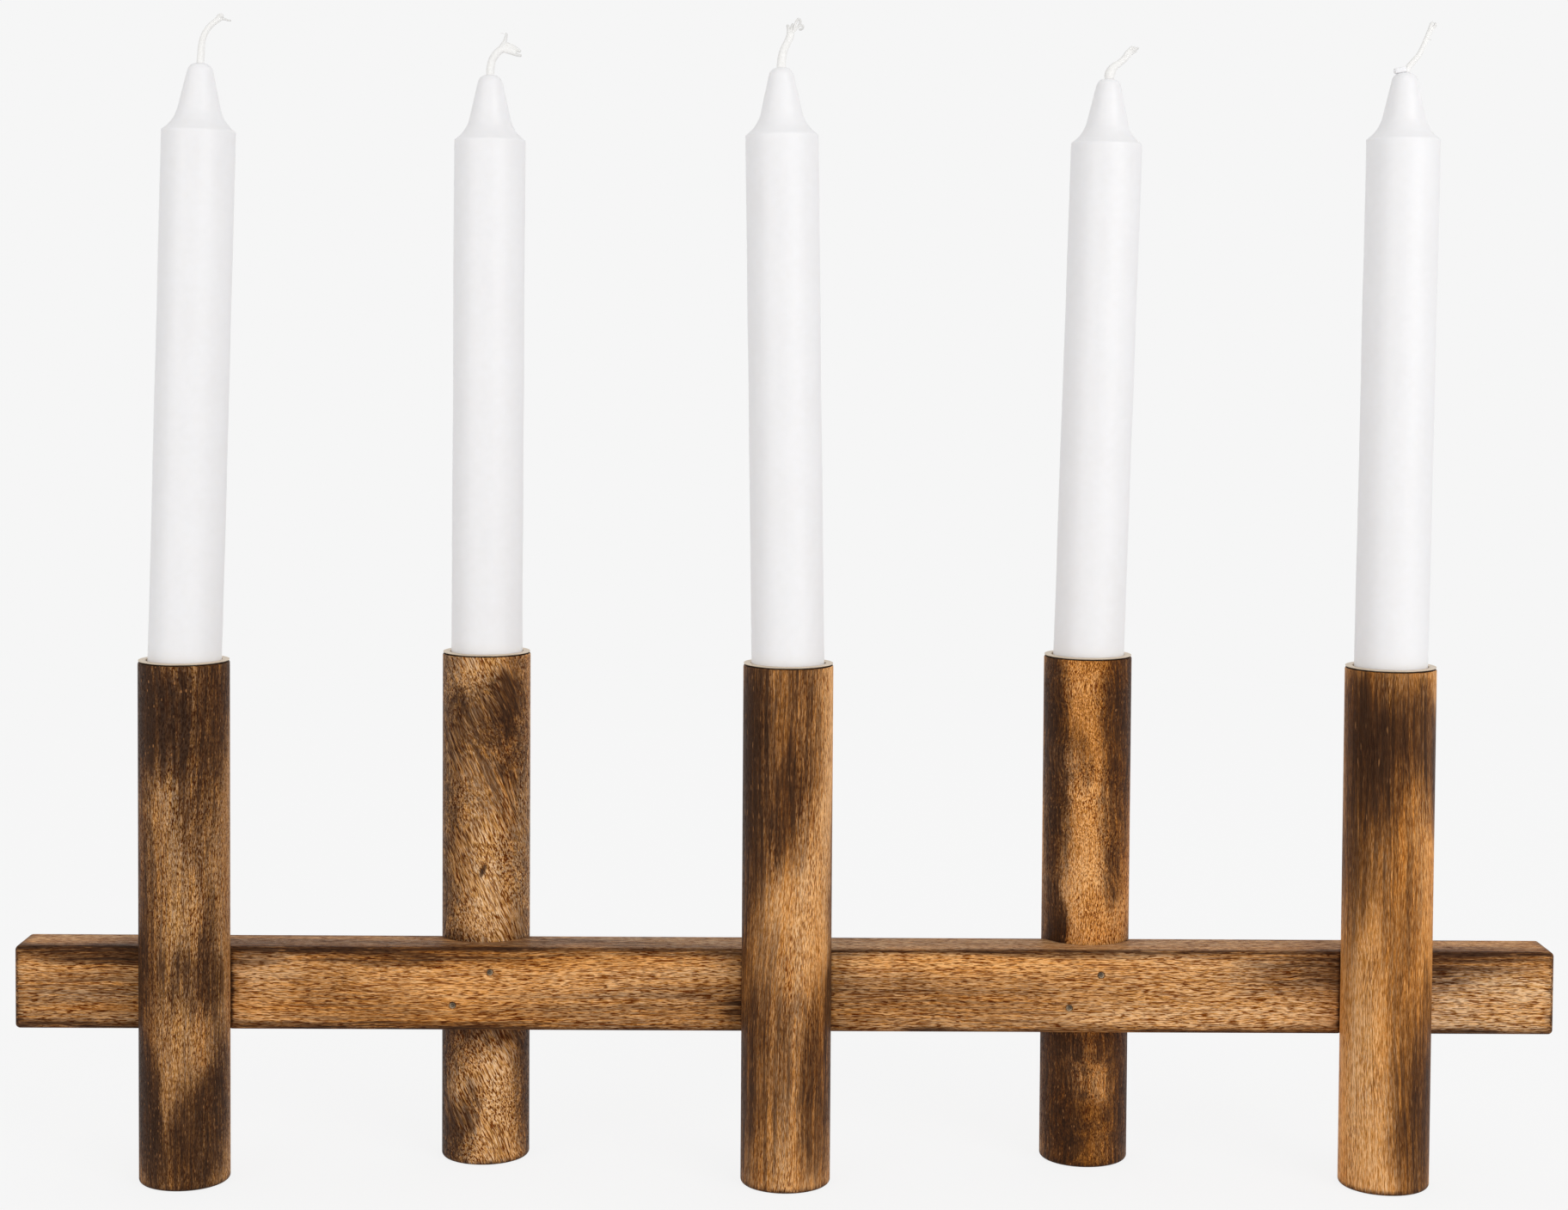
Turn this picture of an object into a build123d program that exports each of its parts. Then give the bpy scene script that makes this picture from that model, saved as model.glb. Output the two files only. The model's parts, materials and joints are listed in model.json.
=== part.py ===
from build123d import *

import os
from math import cos, radians, sin, tan

# Advent candle holder: a wooden beam carries five round posts, set by turns into notches in its
# front and back faces and nailed there. Each post holds a flanged metal cup with a taper candle.
# Millimetres, +Z up, X along the beam, -Y towards the viewer, Z zero under the posts.

# Beam
beam_length = 450.0
beam_depth = 17.0
beam_height = 24.4
beam_underside = 42.5
beam_edge_radius = 1.4
notch_depth = 8.5
notch_gap = 0.05

# Posts, numbered from the viewer's left; post_wall is the wood left around a cup
post_height = 151.0
post_wall = 1.7
post_foot_radius = 1.0
post_top_radius = 0.5
beam_overhang = 50.5
inner_post_reach = 89.8
FRONT = -1
BACK = 1
post_sides = (FRONT, BACK, FRONT, BACK, FRONT)

# Nails, two to a post, driven through the beam from the face opposite to the post
nail_bite = 11.5
nail_head_diameter = 1.8
nail_head_height = 0.5
nail_neck_height = 0.5
nail_shank_diameter = 1.2
nail_point_height = 1.6
nail_sink = 0.25
nail_fit = 0.02
nail_height_shares = (0.70, 0.30)
nail_offset_shares = ((0.35, -0.35), (0.25, -0.59), (-0.35, 0.35), (0.18, -0.53), (0.35, -0.35))

# Candle cups
cup_depth = 20.0
cup_wall = 0.4
cup_fit = 0.05
cup_floor_gap = 0.3
flange_thickness = 0.6
flange_inset = 0.1
flange_edge_radius = 0.2

# Candles, each leaning a little in its cup; leans are degrees towards +X
candle_diameter = 21.0
candle_length = 191.0
candle_tip_height = 19.0
candle_foot_chamfer = 0.5
candle_play = 0.1
candle_seat_gap = 0.05
candle_leans = (1.6, 0.2, -1.0, 1.4, 0.5)
tip_hollow_radius_share = 0.73
tip_hollow_height_share = 0.13
tip_waist_radius_share = 0.57
tip_waist_height_share = 0.34
tip_neck_radius_share = 0.35
tip_neck_height_share = 0.88
tip_dome_radius_share = 0.26
tip_dome_height_share = 0.965

# Wicks, through the whole candle and out at its tip; routes are (sideways, above the tip)
wick_diameter = 2.1
wick_fit = 0.05
wick_bend_share = 0.45
wick_routes = (
    ((0.0, 7.6), (2.2, 11.0), (5.9, 14.1)),
    ((0.0, 3.2), (1.2, 6.0), (3.8, 8.0), (8.4, 6.4)),
    ((0.0, 3.0), (2.2, 7.4), (3.5, 12.0)),
    ((0.0, 2.2), (3.6, 5.2), (7.4, 9.8)),
    ((0.0, 2.3), (3.6, 4.6), (8.4, 13.6)),
)

cut_overrun = 1.0

# Sizes that follow from the ones above
candle_radius = candle_diameter / 2
wick_radius = wick_diameter / 2
steepest_lean = radians(max(abs(lean) for lean in candle_leans))
cup_swing = cup_depth / 2 * tan(steepest_lean)
cup_bore_radius = candle_radius / cos(steepest_lean) + cup_swing + candle_play
cup_outer_radius = cup_bore_radius + cup_wall
cup_hole_radius = cup_outer_radius + cup_fit
post_radius = cup_hole_radius + post_wall
flange_radius = post_radius - flange_inset
flange_top = post_height + flange_thickness
cup_floor = flange_top - cup_depth
cup_hole_depth = cup_depth - flange_thickness + cup_wall + cup_floor_gap
beam_face = beam_depth / 2
post_setback = beam_face - notch_depth + post_radius
outer_post_reach = beam_length / 2 - beam_overhang
post_places = (-outer_post_reach, -inner_post_reach, 0, inner_post_reach, outer_post_reach)
nail_length = beam_depth - notch_depth + nail_bite
post_count = len(post_places)

STANDING = (Align.CENTER, Align.CENTER, Align.MIN)


def post_axis(number):
    """The place under one post's axis."""
    return Pos(post_places[number], post_sides[number] * post_setback, 0)


def spun(edges):
    """The solid that a closed outline in the XZ plane makes when turned about Z."""
    return revolve(make_face(Curve() + edges), axis=Axis.Z)


def polygon_spun(points):
    """The solid that straight runs through (radius, height) points make when turned about Z."""
    return spun([Polyline(*[(r, 0, z) for r, z in points], close=True)])


def nail(fit, head_rise):
    """A brad along -Z with its head at zero, widened by a fit and with its head raised."""
    head = nail_head_diameter / 2 + fit
    shank = nail_shank_diameter / 2 + fit
    neck_end = nail_head_height + nail_neck_height
    tip = nail_length + fit
    outline = [
        (0, head_rise),
        (head, head_rise),
        (head, -nail_head_height),
        (shank, -neck_end),
        (shank, nail_point_height - tip),
        (0, -tip),
    ]
    return polygon_spun(outline)


def nail_places(number):
    """Where the two nails of one post start, sunk into the beam face that the post isn't in."""
    side = post_sides[number]
    start = -side * (beam_face - nail_sink)
    places = []
    for height_share, offset_share in zip(nail_height_shares, nail_offset_shares[number]):
        x = post_places[number] + offset_share * post_radius
        z = beam_underside + height_share * beam_height
        places.append(Pos(x, start, z) * Rot(90 * side, 0, 0))
    return places


def nail_holes(number):
    """What the two nails of one post take out of the wood, open to the beam's face."""
    cutter = nail(nail_fit, nail_sink + cut_overrun)
    return [place * cutter for place in nail_places(number)]


def make_beam():
    """The beam with rounded arrises, a half-deep round notch for each post and its nail holes."""
    beam = Pos(0, 0, beam_underside) * Box(beam_length, beam_depth, beam_height, align=STANDING)
    beam = fillet(beam.edges(), beam_edge_radius)
    notch = Cylinder(post_radius + notch_gap, post_height, align=STANDING)
    for number in range(post_count):
        beam -= post_axis(number) * notch
        for hole in nail_holes(number):
            beam -= hole
    return beam


def make_post(number):
    """A round post with eased ends, the hole for its cup and its two nail holes."""
    post = Cylinder(post_radius, post_height, align=STANDING)
    post = fillet(post.edges().group_by(Axis.Z)[0], post_foot_radius)
    post = fillet(post.edges().group_by(Axis.Z)[-1], post_top_radius)
    hole_height = cup_hole_depth + cut_overrun
    hole = Cylinder(cup_hole_radius, hole_height, align=STANDING)
    post -= Pos(0, 0, post_height - cup_hole_depth) * hole
    post = post_axis(number) * post
    for cutter in nail_holes(number):
        post -= cutter
    return post


def make_cup():
    """A spun metal cup with a flat floor and a flange that lies on the post's top."""
    outline = [
        (0, cup_floor - cup_wall),
        (cup_outer_radius, cup_floor - cup_wall),
        (cup_outer_radius, post_height),
        (flange_radius, post_height),
        (flange_radius, flange_top),
        (cup_bore_radius, flange_top),
        (cup_bore_radius, cup_floor),
        (0, cup_floor),
    ]
    cup = polygon_spun(outline)
    return fillet(cup.edges().group_by(Axis.Z)[-1], flange_edge_radius)


def make_candle():
    """A taper candle on Z from its foot, with a hollowed conical tip and the hole for its wick."""
    shoulder = candle_length - candle_tip_height
    hole = wick_radius + wick_fit

    def tip(radius_share, height_share):
        return (radius_share * candle_radius, 0, shoulder + height_share * candle_tip_height)

    rim = (candle_radius, 0, shoulder)
    hollow = tip(tip_hollow_radius_share, tip_hollow_height_share)
    waist = tip(tip_waist_radius_share, tip_waist_height_share)
    neck = tip(tip_neck_radius_share, tip_neck_height_share)
    dome = tip(tip_dome_radius_share, tip_dome_height_share)
    mouth = (hole, 0, candle_length)
    side = [
        mouth,
        (hole, 0, 0),
        (candle_radius - candle_foot_chamfer, 0, 0),
        (candle_radius, 0, candle_foot_chamfer),
        rim,
    ]
    edges = [
        Polyline(*side),
        ThreePointArc(rim, hollow, waist),
        Line(waist, neck),
        ThreePointArc(neck, dome, mouth),
    ]
    return spun(edges)


def wick_path(route):
    """A wick's line from the candle's foot: straight runs joined by arcs as large as they allow."""
    corners = [(x, candle_length + z) for x, z in route]
    line = [Vector(0, 0, 0)] + [Vector(x, 0, z) for x, z in corners]
    free_runs = [route[0][1]] + [(b - a).length for a, b in zip(line[1:], line[2:])]
    radii = []
    for before, corner, after, run, next_run in zip(line, line[1:], line[2:], free_runs, free_runs[1:]):
        turn = radians((corner - before).get_angle(after - corner))
        radii.append(wick_bend_share * min(run, next_run) / tan(turn / 2))
    print("wick bend radii", [round(radius, 2) for radius in radii])
    return FilletPolyline(*line, radius=radii)


def make_wick(number):
    """A round cotton wick along its route, on Z from the candle's foot."""
    path = wick_path(wick_routes[number])
    section = Plane(origin=path @ 0, z_dir=path % 0) * Circle(wick_radius)
    wick = sweep(section, path=path)
    print("wick volume over section times length", wick.volume / (section.area * path.length))
    return wick


def candle_place(number):
    """Where a candle's foot stands: on the cup's floor, leaning about the middle of the cup."""
    lean = radians(candle_leans[number])
    foot_rise = candle_radius * abs(sin(lean)) + candle_seat_gap
    below_pivot = (cup_depth / 2 - foot_rise) * tan(lean)
    return post_axis(number) * Pos(-below_pivot, 0, cup_floor + foot_rise) * Rot(0, candle_leans[number], 0)


os.makedirs("parts", exist_ok=True)
export_step(make_beam(), "parts/beam.step")
cup = make_cup()
candle = make_candle()
brad = nail(0, 0)
for number in range(post_count):
    label = number + 1
    export_step(make_post(number), f"parts/post_{label}.step")
    export_step(post_axis(number) * cup, f"parts/candle_cup_{label}.step")
    export_step(candle_place(number) * candle, f"parts/candle_{label}.step")
    export_step(candle_place(number) * make_wick(number), f"parts/wick_{label}.step")
    pair = Compound(children=[place * brad for place in nail_places(number)])
    export_step(pair, f"parts/nails_{label}.step")
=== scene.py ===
"""Looks of an advent candle holder: a torched hardwood beam carries five round posts, each with a
metal candle cup, a white taper candle and a braided cotton wick.

Metres, +Z up, X along the beam, -Y towards the viewer. Every piece is a numpy surface that stands
for one CAD node, sits at the origin and keeps its place in its mesh.
"""

import json
import logging
import math
from dataclasses import dataclass, field
from enum import Enum
from functools import cache

import bpy
import numpy as np
from mathutils import Matrix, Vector
from numpy.typing import NDArray


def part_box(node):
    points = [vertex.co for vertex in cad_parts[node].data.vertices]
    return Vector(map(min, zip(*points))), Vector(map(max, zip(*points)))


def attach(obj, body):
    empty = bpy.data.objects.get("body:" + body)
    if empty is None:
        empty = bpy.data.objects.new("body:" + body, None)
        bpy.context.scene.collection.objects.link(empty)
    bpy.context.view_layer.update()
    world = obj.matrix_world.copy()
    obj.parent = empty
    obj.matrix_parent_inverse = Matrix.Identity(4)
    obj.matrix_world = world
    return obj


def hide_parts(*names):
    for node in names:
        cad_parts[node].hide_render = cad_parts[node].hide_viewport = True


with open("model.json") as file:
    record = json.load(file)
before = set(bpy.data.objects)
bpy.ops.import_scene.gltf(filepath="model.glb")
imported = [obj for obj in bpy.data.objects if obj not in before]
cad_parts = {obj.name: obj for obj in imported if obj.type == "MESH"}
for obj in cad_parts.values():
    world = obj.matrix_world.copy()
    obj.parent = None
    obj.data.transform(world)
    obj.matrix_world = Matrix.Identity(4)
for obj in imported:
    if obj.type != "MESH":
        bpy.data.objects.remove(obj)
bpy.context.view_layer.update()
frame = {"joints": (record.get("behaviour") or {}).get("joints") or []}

log = logging.getLogger("candle_holder")

Floats = NDArray[np.float64]
Indices = NDArray[np.int64]
Triple = tuple[float, float, float]
Colour = tuple[float, float, float, float]
Socket = bpy.types.NodeSocket
Value = Socket | float | Colour | Triple
Pair = tuple[float, float]
Route = tuple[tuple[float, float, float, float], ...]

HOLDER = "holder"
MILLIMETRES = 1000.0
QUARTER_TURN = 90.0
LINE_RESOLUTION = 20
NOISE_MIDDLE = (0.3, 0.7)
FLAT = np.array([1.0, 1.0, 0.0])
FLOAT = "NodeSocketFloat"
VECTOR = "NodeSocketVector"
COLOUR = "NodeSocketColor"


def colour(red: int, green: int, blue: int) -> Colour:
    """Turn a colour as seen on a screen into the linear colour that nodes take.

    Formula: the screen's own curve, a straight toe and then a power of 2.4.

    Args:
        red: 0 to 255.
        green: 0 to 255.
        blue: 0 to 255.

    Returns:
        The linear colour, fully opaque.
    """
    toe_end, toe_slope, lift, power = 0.04045, 12.92, 0.055, 2.4
    seen = np.array([red, green, blue]) / 255.0
    linear = np.where(seen <= toe_end, seen / toe_slope, ((seen + lift) / (1.0 + lift)) ** power)
    return (float(linear[0]), float(linear[1]), float(linear[2]), 1.0)


def smoothstep(low: float, high: float, values: Floats) -> Floats:
    """Rise smoothly from 0 to 1.

    Formula: three times the square less twice the cube of the share of the way up.

    Args:
        low: where the rise starts.
        high: where it ends.
        values: where to read it.

    Returns:
        The height of the rise at each value.
    """
    step = np.clip((values - low) / (high - low), 0.0, 1.0)
    return step * step * (3.0 - 2.0 * step)


def bell(distance: Floats, width: float) -> Floats:
    """Fall from 1 at no distance: e to the power of minus the square of distance over width."""
    return np.exp(-((distance / width) ** 2))


@dataclass(frozen=True)
class NodeBox:
    """The lowest and highest corners of one CAD node at rest."""

    low: Floats
    high: Floats

    @classmethod
    def of(cls, node: str) -> "NodeBox":
        """Read a node's corners from the frame."""
        low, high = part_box(node)
        return cls(np.array(low), np.array(high))

    @property
    def size(self) -> Floats:
        """The box's three sides."""
        return self.high - self.low

    @property
    def centre(self) -> Floats:
        """The middle of the box."""
        return (self.low + self.high) / 2.0


@dataclass
class NodePiece:
    """What stands for one CAD node, at the place that the frame gives."""

    box: NodeBox = field(init=False)

    def __post_init__(self) -> None:
        """Read the node's corners."""
        self.box = NodeBox.of(self.node)

    @property
    def node(self) -> str:
        """The CAD node's name, which each kind of piece gives."""
        raise NotImplementedError


@dataclass(frozen=True)
class SoftNoise:
    """Seeded smooth noise for shaping and staining.

    Formula: random values between -1 and 1 stand on a cubic lattice that repeats, and a point
    takes the eight values round it, weighted by the smoothstep of its place in the cell.
    """

    seed: int
    cells: int = 32

    def at(self, points: Floats, size: Triple) -> Floats:
        """Read the noise at some points.

        Args:
            points: places in metres, one row each.
            size: the lattice's cell size along each axis, in metres.

        Returns:
            One value for each row.
        """
        lattice = np.random.default_rng(self.seed).uniform(-1.0, 1.0, (self.cells,) * 3)
        place = points / np.array(size)
        cell = np.floor(place).astype(np.int64)
        step = place - cell
        near = smoothstep(0.0, 1.0, step)
        total = np.zeros(len(points))
        for corner in np.ndindex(2, 2, 2):
            pick = np.array(corner)
            weight = np.prod(np.where(pick == 1, near, 1.0 - near), axis=1)
            index = (cell + pick) % self.cells
            total += weight * lattice[index[:, 0], index[:, 1], index[:, 2]]
        return total


class Ends(Enum):
    """How a run of rings is shut."""

    POLES = "a centre point at each end"
    LOOP = "the last ring joined to the first"


@dataclass
class Surface:
    """A closed surface of quads and triangles."""

    points: Floats
    quads: Indices
    triangles: Indices

    @classmethod
    def from_rings(cls, rings: Floats, ends: Ends) -> "Surface":
        """Join rings of points into a closed surface.

        Formula: point (i, j) of the grid makes a quad with its neighbours (i, j + 1),
        (i + 1, j + 1) and (i + 1, j), where j runs round and closes on itself.

        Args:
            rings: places as an array of rings by columns by three.
            ends: whether the ends get centre points or join up.

        Returns:
            The surface, its faces turned outwards.
        """
        count, columns, _ = rings.shape
        spans = count if ends is Ends.LOOP else count - 1
        ring, column = np.meshgrid(np.arange(spans), np.arange(columns), indexing="ij")
        after = (ring + 1) % count
        beside = (column + 1) % columns
        corners = (
            ring * columns + column,
            ring * columns + beside,
            after * columns + beside,
            after * columns + column,
        )
        quads = np.stack(corners, axis=-1).reshape(-1, 4)
        points = rings.reshape(-1, 3)
        triangles = np.zeros((0, 3), dtype=np.int64)
        if ends is Ends.POLES:
            poles = np.stack([rings[0].mean(axis=0), rings[-1].mean(axis=0)])
            points = np.concatenate([points, poles])
            here = np.arange(columns)
            there = (here + 1) % columns
            last = (count - 1) * columns
            first_pole = np.full(columns, count * columns)
            start = np.stack([first_pole, there, here], axis=-1)
            finish = np.stack([first_pole + 1, last + here, last + there], axis=-1)
            triangles = np.concatenate([start, finish])
        return cls(points, quads, triangles).outward()

    def outward(self) -> "Surface":
        """Turn all faces round if the volume that they enclose comes out negative.

        Returns:
            The surface with its faces outwards.
        """
        split = [self.quads[:, [0, 1, 2]], self.quads[:, [0, 2, 3]], self.triangles]
        corner = self.points[np.concatenate(split)] - self.points.mean(axis=0)
        six_volumes = np.einsum("ij,ij->i", corner[:, 0], np.cross(corner[:, 1], corner[:, 2]))
        if six_volumes.sum() >= 0.0:
            return self
        return Surface(self.points, self.quads[:, ::-1], self.triangles[:, ::-1])

    @staticmethod
    def together(surfaces: list["Surface"]) -> "Surface":
        """Put several closed surfaces into one, without joining their points.

        Args:
            surfaces: the closed surfaces.

        Returns:
            One surface with all their points, in order.
        """
        starts = np.cumsum([0] + [len(surface.points) for surface in surfaces])
        return Surface(
            np.concatenate([surface.points for surface in surfaces]),
            np.concatenate([surface.quads + start for surface, start in zip(surfaces, starts)]),
            np.concatenate([surface.triangles + start for surface, start in zip(surfaces, starts)]),
        )

    def piece(self, name: str, looks: dict[str, Floats], crease: float) -> bpy.types.Object:
        """Make a mesh object of the surface.

        Args:
            name: the object's name.
            looks: named values for each point, single or in threes, which materials read.
            crease: edges sharper than this many degrees keep a hard line in the shading.

        Returns:
            The object, linked into the scene.
        """
        mesh = bpy.data.meshes.new(name)
        mesh.from_pydata(self.points.tolist(), [], self.quads.tolist() + self.triangles.tolist())
        mesh.polygons.foreach_set("use_smooth", np.ones(len(mesh.polygons), dtype=bool))
        mesh.set_sharp_from_angle(angle=math.radians(crease))
        for label, values in looks.items():
            single = values.ndim == 1
            layer = mesh.attributes.new(label, "FLOAT" if single else "FLOAT_VECTOR", "POINT")
            data = values.astype(np.float32).ravel()
            layer.data.foreach_set("value" if single else "vector", data)
        mesh.update()
        made = bpy.data.objects.new(name, mesh)
        bpy.context.scene.collection.objects.link(made)
        return made


def with_poles(grid: Floats) -> Floats:
    """Flatten a grid of values and add those of the two centre points.

    Args:
        grid: values by rings and columns.

    Returns:
        A value for each point of the surface that the rings make.
    """
    ends = np.stack([grid[0].mean(axis=0), grid[-1].mean(axis=0)])
    return np.concatenate([grid.reshape((-1,) + grid.shape[2:]), ends])


def shares(steps: int) -> Floats:
    """The even shares of a way that some steps reach, without its start, as a column."""
    return np.arange(1, steps + 1)[:, None] / steps


class Outline:
    """A turned outline of (radius, height) points, laid run by run."""

    def __init__(self, radius: float, height: float) -> None:
        """Start the outline at one point."""
        self.spans = [np.array([[radius, height]])]

    def run_to(self, radius: float, height: float, spacing: float) -> None:
        """Add evenly spaced points on a straight line.

        Args:
            radius: how far out the line ends.
            height: how high the line ends.
            spacing: about how far apart the points stand.
        """
        start = self.spans[-1][-1]
        reach = np.array([radius, height]) - start
        steps = max(1, round(float(np.linalg.norm(reach)) / spacing))
        self.spans.append(start + shares(steps) * reach)

    def turn_about(self, radius: float, height: float, sweep: float, steps: int) -> None:
        """Add an arc from the last point.

        Args:
            radius: how far out the arc's centre lies.
            height: how high it lies.
            sweep: how many degrees it turns.
            steps: how many points it adds.
        """
        spoke = self.spans[-1][-1] - np.array([radius, height])
        angle = math.atan2(spoke[1], spoke[0]) + np.radians(sweep) * shares(steps)[:, 0]
        reach = float(np.linalg.norm(spoke))
        arc = np.stack([radius + reach * np.cos(angle), height + reach * np.sin(angle)], axis=-1)
        self.spans.append(arc)

    def curve_to(self, middle: Floats, end: Floats, steps: int) -> None:
        """Add a parabola from the last point.

        Args:
            middle: a point that it passes through.
            end: where it stops.
            steps: how many points it adds.
        """
        start = self.spans[-1][-1]
        first = np.linalg.norm(middle - start)
        at_middle = first / (first + np.linalg.norm(end - middle))
        pull = middle - (1 - at_middle) ** 2 * start - at_middle**2 * end
        handle = pull / (2 * at_middle * (1 - at_middle))
        share = shares(steps)
        bow = (1 - share) ** 2 * start + 2 * share * (1 - share) * handle + share**2 * end
        self.spans.append(bow)

    def spun(self, columns: int) -> Floats:
        """Turn the outline about Z.

        Formula: at angle a round from the front, a point of radius r and height h goes to
        (r sin a, -r cos a, h).

        Args:
            columns: how many points go round.

        Returns:
            Rings by columns by three.
        """
        profile = np.concatenate(self.spans)
        angle = np.linspace(-math.pi, math.pi, columns, endpoint=False)
        radius, height = profile[:, :1], profile[:, 1:]
        across, depth = radius * np.sin(angle), -radius * np.cos(angle)
        return np.stack([across, depth, np.broadcast_to(height, across.shape)], axis=-1)


def around_angles(columns: int) -> Floats:
    """Even angles once round, in radians from zero."""
    return np.linspace(0.0, 2.0 * math.pi, columns, endpoint=False)


def leaned(points: Floats, lean: float) -> Floats:
    """Turn points about the Y axis.

    Args:
        points: places as the last axis of an array.
        lean: how far Z turns towards X, in radians.

    Returns:
        The turned places.
    """
    across, depth, up = points[..., 0], points[..., 1], points[..., 2]
    sine, cosine = math.sin(lean), math.cos(lean)
    return np.stack([across * cosine + up * sine, depth, up * cosine - across * sine], axis=-1)


def tube(path: Floats, radii: Floats, columns: int) -> Surface:
    """Carry a circle along a path.

    Formula: at each point the circle lies across the path's tangent, on the two directions that
    the tangent makes with a fixed sideways direction.

    Args:
        path: points along the tube.
        radii: the tube's radius at each point, or at each point and column.
        columns: how many points go round.

    Returns:
        The tube, shut at both ends.
    """
    sideways = np.array([0.12, 0.98, 0.16])
    tangent = np.gradient(path, axis=0)
    tangent /= np.linalg.norm(tangent, axis=1, keepdims=True)
    side = np.cross(tangent, sideways)
    side /= np.linalg.norm(side, axis=1, keepdims=True)
    rise = np.cross(tangent, side)
    angle = around_angles(columns)[None, :, None]
    circle = np.cos(angle) * side[:, None, :] + np.sin(angle) * rise[:, None, :]
    reach = radii.reshape(len(path), -1, 1)
    return Surface.from_rings(path[:, None, :] + reach * circle, Ends.POLES)


def smooth_line(route: Floats, spacing: float) -> Floats:
    """Read evenly spaced points from a Bezier spline through a route.

    Formula: even steps of the spline's length; the radius runs straight from row to row.

    Args:
        route: rows of a place and a radius.
        spacing: the step between points.

    Returns:
        Rows of a place and a radius.
    """
    curve = bpy.data.curves.new("smooth_line", "CURVE")
    curve.dimensions = "3D"
    curve.resolution_u = LINE_RESOLUTION
    spline = curve.splines.new("BEZIER")
    spline.bezier_points.add(len(route) - 1)
    spline.bezier_points.foreach_set("co", route[:, :3].ravel())
    for point in spline.bezier_points:
        point.handle_left_type = point.handle_right_type = "AUTO"
    holder = bpy.data.objects.new("smooth_line", curve)
    mesh = bpy.data.meshes.new_from_object(holder)
    points = np.zeros(3 * len(mesh.vertices))
    mesh.vertices.foreach_get("co", points)
    bpy.data.objects.remove(holder)
    bpy.data.curves.remove(curve)
    bpy.data.meshes.remove(mesh)
    line = points.reshape(-1, 3)
    travelled = np.concatenate([[0.0], np.cumsum(np.linalg.norm(np.diff(line, axis=0), axis=1))])
    knots = np.interp(np.linspace(0.0, len(line) - 1.0, len(route)), np.arange(len(line)), travelled)
    even = np.arange(0.0, travelled[-1], spacing)
    places = [np.interp(even, travelled, line[:, axis]) for axis in range(3)]
    return np.stack(places + [np.interp(even, knots, route[:, 3])], axis=-1)


def ball_end(radii: Floats, spacing: float) -> Floats:
    """Round the far end of a tube off.

    Formula: within one radius of the end the radius is that of a ball, the root of one less the
    square of the share of the way back from the end.

    Args:
        radii: the tube's radius at each point.
        spacing: the step between points.

    Returns:
        The rounded radii.
    """
    last_step = 0.25
    left = spacing * (np.arange(len(radii))[::-1] + last_step)
    inside = np.clip(1.0 - left / radii, 0.0, 1.0)
    return radii * np.sqrt(1.0 - inside**2)


@dataclass(frozen=True)
class NoiseLay:
    """Stretched noise: its cells per unit along each axis, its detail and its roughness."""

    stretch: Triple
    detail: float
    roughness: float = 0.5


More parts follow.
